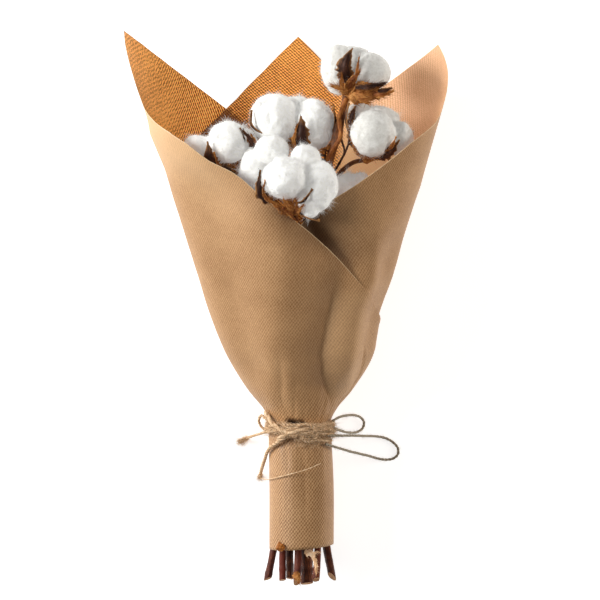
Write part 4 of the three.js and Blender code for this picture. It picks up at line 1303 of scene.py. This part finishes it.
SPLINTERS = {"a": 12, "b": 14, "c": 10, "d": 18, "e": 8, "f": 12, "g": 8}
SHREDS = {"a": 320, "b": 200, "c": 120, "d": 260, "e": 80, "f": 150, "g": 80}
PEELED_BARK = (  # root, belly, tip, half width: bark torn open on stem g, and its hanging strip
    ((17.1, -218.8, 50), (22.5, -221.3, 53), (28.8, -219.7, 50), 3.0),
    ((22.5, -219.5, 52), (26.1, -227.6, 52.5), (27.4, -239.4, 51), 1.7),
)
SPLIT_END = ((8.6, -238.5, 45.5), (9.9, -243.2, 48), (11.4, -248, 46.5), 3.4)  # torn end of stem d
STRAND_SIDES = 8
LOOSE_STRANDS = {  # strips that have come off the stems, as a route and a radius
    "a": [
        ([(54.2, 193, 84), (47.5, 176, 88), (49, 160, 92), (38, 140, 94), (38.5, 122, 90), (31, 104, 84)], 2),
        ([(45.9, 163.4, 88), (38.7, 145.2, 86), (32.4, 128.3, 78)], 1.2),
        ([(49.5, 156.6, 92), (52.2, 145.8, 92), (45.9, 130.5, 82)], 0.9),
        ([(43.2, 156.4, 90), (36.0, 147.2, 88), (35.1, 134.1, 82)], 0.8),
        ([(46.8, 173.8, 84), (42.3, 155.8, 84), (38.7, 130.1, 78)], 1.5),
    ],
    "b": [
        ([(23.4, 140.2, 90), (32.4, 138.4, 90), (40.5, 126.9, 82)], 1.4),
        ([(28.8, 144.0, 92), (36.9, 140.2, 90), (40.5, 130.5, 82)], 1.0),
        ([(32.4, 147.6, 92), (38.7, 145.6, 90), (43.2, 139.8, 86)], 0.9),
    ],
    "f": [([(58.5, 164.2, 97), (54.0, 147.7, 94), (43.2, 126.9, 82)], 1.0)],
}


def loose_strand(route, radius, draw):
    """A rough strip with its skin: bark when thin, and rusty husk when it has been worn wide open."""
    line = soft_line(route, 1.0)
    turn = np.linspace(0, 2 * math.pi, STRAND_SIDES + 1)
    seed = draw.uniform(0, 50)
    rough = noise_at(np.cos(turn), np.sin(turn), np.arange(len(line))[:, None] / 5 + seed)
    taper = np.minimum(1, 0.35 + 0.2 * np.arange(len(line))[::-1])[:, None]
    rings = radius * taper * (1 + 0.5 * rough)
    skin = rusty_husk if radius > 1.4 else dark_husk
    return piece("loose_strand", closed_tube(line, rings, edge=0.0), skin)


for number, stem in enumerate(STEMS):
    stem_draw = np.random.default_rng(100 + number)
    node = f"stem_{stem['name']}"
    strands = [loose_strand(*strand, stem_draw) for strand in LOOSE_STRANDS.get(stem["name"], [])]
    wood = stands_for(piece(node + "_wood", stem_wood(stem, stem_draw), bark, cut_wood), node)
    by_skin = defaultdict(list)  # the parts of the burr, by what they are made of
    for strand in strands:
        by_skin["valves" if strand.active_material is dark_husk else "rusty_husk"].append(strand)
    for shape in stem["valves"]:
        by_skin["valves"].append(valve(stem, *shape, stem_draw))
    for *shape, skin, shreds in stem.get("leaves", []):
        label = {"dry_valve": "valves", "fibrous_burr": "burr"}.get(skin.name, skin.name)
        by_skin[label].extend(open_leaf(*shape, skin, shreds, stem_draw))
    by_skin["burr"].append(burr_cup(stem, stem_draw))
    by_skin["burr"].extend(burr_splinters(stem, stem_draw, SPLINTERS[stem["name"]]))
    by_skin["burr"].append(burr_fibres(stem, stem_draw, SHREDS[stem["name"]]))
    if stem["name"] == "d":
        by_skin["burr"].extend(open_leaf(*SPLIT_END, burr_husk, 60, stem_draw))
    if stem["name"] == "g":
        for *points, half_width in PEELED_BARK:
            by_skin["peeled"].extend(open_leaf(*points, half_width, pale_husk, 40, stem_draw))
    burrs = [joined(f"{node}_{label}", *parts) for label, parts in by_skin.items()]
    dressed = [stands_for(burr, node) for burr in burrs]
    print("stem", stem["name"], [triangles_of(part) for part in (wood, *dressed)], "triangles")

# %% [markdown]
# The lower edge of the paper is torn at one place, and the torn bit is turned up. It shows the
# paper's inside, orange with painted light coming through it and a faint glow, and it is a small leaf
# of paper bent over three points.

# %% Torn edge
TORN_BIT = ((-2.8, -217.6, 57.5), (-5.2, -214.4, 59), (-6.6, -209.8, 56.5), 3.9)

torn_draw = np.random.default_rng(5)
*torn_places, torn_half_width = TORN_BIT
torn_under = np.array(torn_places[1], float) - (0, 0, 30)
torn_bit = leaf(*torn_places, torn_under, torn_half_width, torn_draw, kraft_torn, thickness=PAPER, ragged=0.3)
torn_bit.name = torn_bit.data.name = "wrap_left_torn_bit"
stands_for(torn_bit, "wrap_left")
print("torn bit", triangles_of(torn_bit), "triangles")

# %% [markdown]
# Raw cotton is nearly pure cellulose: white, matt, and so loose that light goes into it and comes
# out again softly. Subsurface scattering gives that softness, and a faint sheen the lit fuzz of its
# edge. Its grey shading comes from the light, but a faint white glow is painted light that lifts its
# shade, its darker white in the hollows of the strands is painted shade, and so is a duller copy of
# the cotton on two bolls.

# %% Cotton fibre
SCATTER = 2.5  # how far light strays in the cotton


def raw_cotton(name, hollow, crest, painted_glow):
    """Loose fibre between two whites, the darker painted shade in the hollows of its strands, with a faint
    white glow: painted light for the light that goes astray in it and comes out.
    """
    material, place = new_material(name)
    strands = noise_node(material, place["Object"], features(2.2), 6, 0.75)
    return finish(
        material,
        # the darker white, in the hollows of the strands' relief, is painted shade
        Base_Color=ramp(material, strands, (0.3, hollow), (0.6, crest)),
        Normal=relief(material, strands, 0.55, 1.0),
        Roughness=1.0,
        Specular_IOR_Level=0.1,
        Subsurface_Weight=0.35,
        Subsurface_Radius=(1.0, 1.0, 1.0),
        Subsurface_Scale=SCATTER * MM,
        Sheen_Weight=0.2,
        # painted light: a faint white glow that lifts the shade
        Emission_Color=linear("ffffff"),
        Emission_Strength=painted_glow,
    )


cotton = raw_cotton("raw_cotton", "e4e4e1", "fbfbf9", 0.1)
cotton_in_painted_shade = raw_cotton("raw_cotton_in_painted_shade", "cfcdc6", "e4e3df", 0.08)  # a darker copy of the cotton: painted shade on bolls that lie in shade
COTTON_OF = {"a": cotton_in_painted_shade, "f": cotton_in_painted_shade}
print("cotton scatters light over", SCATTER, "mm")

# %% [markdown]
# A lock of cotton is a ball of fluff, and a boll has three to five of them that swell out between
# the valves. The locks start as icospheres, one remesh makes them one skin with soft valleys between
# them, and noise in three sizes lifts lumps, tufts and small strands. Then thousands of fibres grow
# on the skin: long ones combed along the lock and bent back to it, short fuzz that stands off every
# way, and wisps that have been pulled out. Shreds of husk cling to the cotton round the cup.

# %% Cotton bolls
COTTON_VOXEL = 1.2
FUZZ_A_SQUARE = 0.6  # short loose ends on each square millimetre
FIBRES_A_SQUARE = 0.25  # fibres on each square millimetre
TUFTS = {"a": 16, "b": 30, "c": 50, "d": 90, "e": 90, "f": 30, "g": 30}
FIBRES_A_TUFT = 26
LUMPS = ((13.0, 1.7), (5.6, 0.8), (2.8, 0.4))  # size of a lump and how high it stands


def along_skin(vectors, out):
    """The part of each vector that lies in the surface."""
    return vectors - out * (vectors * out).sum(axis=1, keepdims=True)


def area_of(obj):
    """The area of a mesh in square millimetres."""
    return sum(face.area for face in obj.data.polygons) / MM**2


def skin_of_locks(stem):
    """The locks of a boll under one soft skin."""
    made = bmesh.new()
    for *at, half_x, half_y, half_z in stem["locks"]:
        size = Matrix.Diagonal(Vector((half_x * MM, half_y * MM, half_z * MM, 1)))
        ball = Matrix.Translation(Vector(at) * MM) @ size
        bmesh.ops.create_icosphere(made, subdivisions=5, radius=1, matrix=ball)
    rough = piece(f"cotton_{stem['name']}_fluff", made, COTTON_OF.get(stem["name"], cotton))
    skin = rough.modifiers.new("one skin", "REMESH")
    skin.mode = "VOXEL"
    skin.voxel_size = COTTON_VOXEL * MM
    soft = rough.modifiers.new("soft valleys", "SMOOTH")
    soft.iterations = 9
    mesh = bpy.data.meshes.new_from_object(rough.evaluated_get(bpy.context.evaluated_depsgraph_get()))
    rough.modifiers.clear()
    rough.data = mesh
    mesh.shade_smooth()
    return rough


def fluff_up(obj, seed):
    """Lifts lumps of three sizes out of the skin."""
    mesh = obj.data
    places, out = numbers_of(mesh.vertices, "co") / MM, numbers_of(mesh.vertex_normals, "vector")
    lift = sum(height * noise_at(*(places / size + (seed, 0, 0)).T) for size, height in LUMPS)
    mesh.vertices.foreach_set("co", ((places + out * lift[:, None]) * MM).ravel())
    mesh.update()


def combed_fibres(obj, stem, draw):
    """Long fibres that lie along the lock and bend back to it."""
    count = round(area_of(obj) * FIBRES_A_SQUARE)
    roots, out = scattered(obj, count, draw)
    _, axis = cup_axis(stem)
    combed = unit(along_skin(axis + draw.normal(0, 0.55, (count, 3)), out))
    lift = draw.uniform(0.1, 0.5, (count, 1))
    bend = draw.normal(0, 0.3, (count, 3)) - out * 0.42
    lengths, widths = draw.uniform(3, 7, count), draw.uniform(0.14, 0.3, count)
    own = obj.data.materials[0]
    return fibres("combed", roots - out * 0.5, combed + lift * out, bend, lengths, widths, own)


def fuzz(obj, draw):
    """Short ends that stand off every way, so that the boll has no hard outline."""
    count = round(area_of(obj) * FUZZ_A_SQUARE)
    roots, out = scattered(obj, count, draw)
    ahead = out + draw.normal(0, 0.6, (count, 3))
    lengths, widths = 1.6 + 3.6 * draw.random(count) ** 2, draw.uniform(0.13, 0.24, count)
    own = obj.data.materials[0]
    return fibres("fuzz", roots - out * 0.4, ahead, np.zeros((count, 3)), lengths, widths, own, 1)


def tufts(obj, stem, draw):
    """Wisps that have been pulled out of the locks."""
    wisps = TUFTS[stem["name"]]
    middles, out = scattered(obj, wisps, draw)
    drift = unit(out + draw.normal(0, 0.5, (wisps, 3)))
    each = np.repeat(np.arange(wisps), FIBRES_A_TUFT)
    count = len(each)
    roots = middles[each] - out[each] + draw.normal(0, 1.1, (count, 3))
    ahead = drift[each] + draw.normal(0, 0.38, (count, 3))
    bend = draw.normal(0, 0.35, (count, 3)) + draw.normal(0, 0.3, (wisps, 3))[each]
    lengths, widths = draw.uniform(3, 7.5, count), draw.uniform(0.14, 0.26, count)
    return fibres("tufts", roots, ahead, bend, lengths, widths, obj.data.materials[0], 1)


def clinging_husk(obj, stem, count, draw):
    """Shreds of husk on the underside of the cotton, round the cup."""
    roots, out = scattered(obj, 60 * count, draw)
    at, axis = cup_axis(stem)
    rim = at + axis * stem["cup"]["height"]
    far = np.linalg.norm(roots - rim, axis=1)
    under = (out @ axis < -0.05) & (far < 1.5 * stem["cup"]["radius"]) & ((roots - rim) @ axis < 5)
    under = np.flatnonzero(under)[:count]
    roots, out = roots[under], out[under]
    spread = roots - rim - ((roots - rim) @ axis)[:, None] * axis
    ahead = unit(unit(spread) + 0.7 * axis + draw.normal(0, 0.35, roots.shape))
    ahead = unit(along_skin(ahead, out) + 0.25 * out)
    lengths, widths = draw.uniform(3, 8, len(roots)), draw.uniform(0.35, 0.95, len(roots))
    aside = draw.normal(0, 0.15, roots.shape)
    return fibres(f"stem_{stem['name']}_shreds", roots, ahead, aside, lengths, widths, burr_husk, 3)


CLINGING = {"a": 0, "b": 300, "c": 120, "d": 300, "e": 60, "f": 200, "g": 60}  # shreds of husk
total = 0
for number, stem in enumerate(STEMS):
    node = f"cotton_{stem['name']}"
    boll = skin_of_locks(stem)
    fluff_up(boll, 7.0 * number)
    boll_draw = np.random.default_rng(200 + number)
    fluff = combed_fibres(boll, stem, boll_draw), fuzz(boll, boll_draw), tufts(boll, stem, boll_draw)
    boll_fibres = joined(node + "_fibres", *fluff)
    if CLINGING[stem["name"]]:
        clinging = clinging_husk(boll, stem, CLINGING[stem["name"]], boll_draw)
        stands_for(clinging, f"stem_{stem['name']}")
    stands_for(boll, node)
    stands_for(boll_fibres, node)
    counted = [triangles_of(boll), triangles_of(boll_fibres)]
    total += sum(counted)
    print("boll", stem["name"], counted, "triangles")
print("all bolls", total, "triangles")

# %% [markdown]
# The floor is a plain white sheet of acrylic, far larger than the bunch and lit a little from below,
# as on a photographer's light table, so that shadows stay faint. The light is soft: a large key from
# the left and behind the bolls, a weaker fill from the right, a faint one from above, and an even
# pale surround.

# %% Floor and light
acrylic = finish(
    new_material("lit_white_acrylic")[0],
    Base_Color=linear("d8d8d8"),
    Roughness=0.9,
    Specular_IOR_Level=0.1,
    Emission_Color=linear("ffffff"),
    Emission_Strength=0.75,
)
floor_made = bmesh.new()
bmesh.ops.create_grid(floor_made, x_segments=1, y_segments=1, size=3)
floor = piece("floor", floor_made, acrylic)


def soft_light(name, place, aim, size, watts, colour):
    """A round lamp at a place, turned to what it aims at; size and places are metres."""
    lamp = bpy.data.lights.new(name, "AREA")
    lamp.shape = "DISK"
    lamp.size = size
    lamp.energy = watts
    lamp.color = colour
    obj = bpy.data.objects.new(name, lamp)
    obj.location = place
    obj.rotation_euler = (Vector(aim) - Vector(place)).to_track_quat("-Z", "Y").to_euler()
    bpy.context.scene.collection.objects.link(obj)
    return obj


soft_light("key", (-1.75, 0.6, 0.95), (0, 0.02, 0.06), 1.0, 54, (1, 1, 0.985))
fill = soft_light("fill", (2.0, 0.2, 0.6), (0, 0, 0.05), 1.0, 22, (1, 0.96, 0.9))
fill.visible_glossy = False  # the paper shows no second highlight
soft_light("top", (-0.3, 0.6, 2.3), (0, 0, 0), 1.6, 3, (1, 1, 1))
world = bpy.data.worlds.new("pale surround")
world.use_nodes = True
surround = world.node_tree.nodes["Background"].inputs
surround["Color"].default_value = linear("f8f3ec")
surround["Strength"].default_value = 0.2
bpy.context.scene.world = world
bpy.context.scene.view_settings.view_transform = "Standard"
print("floor and three soft lights")
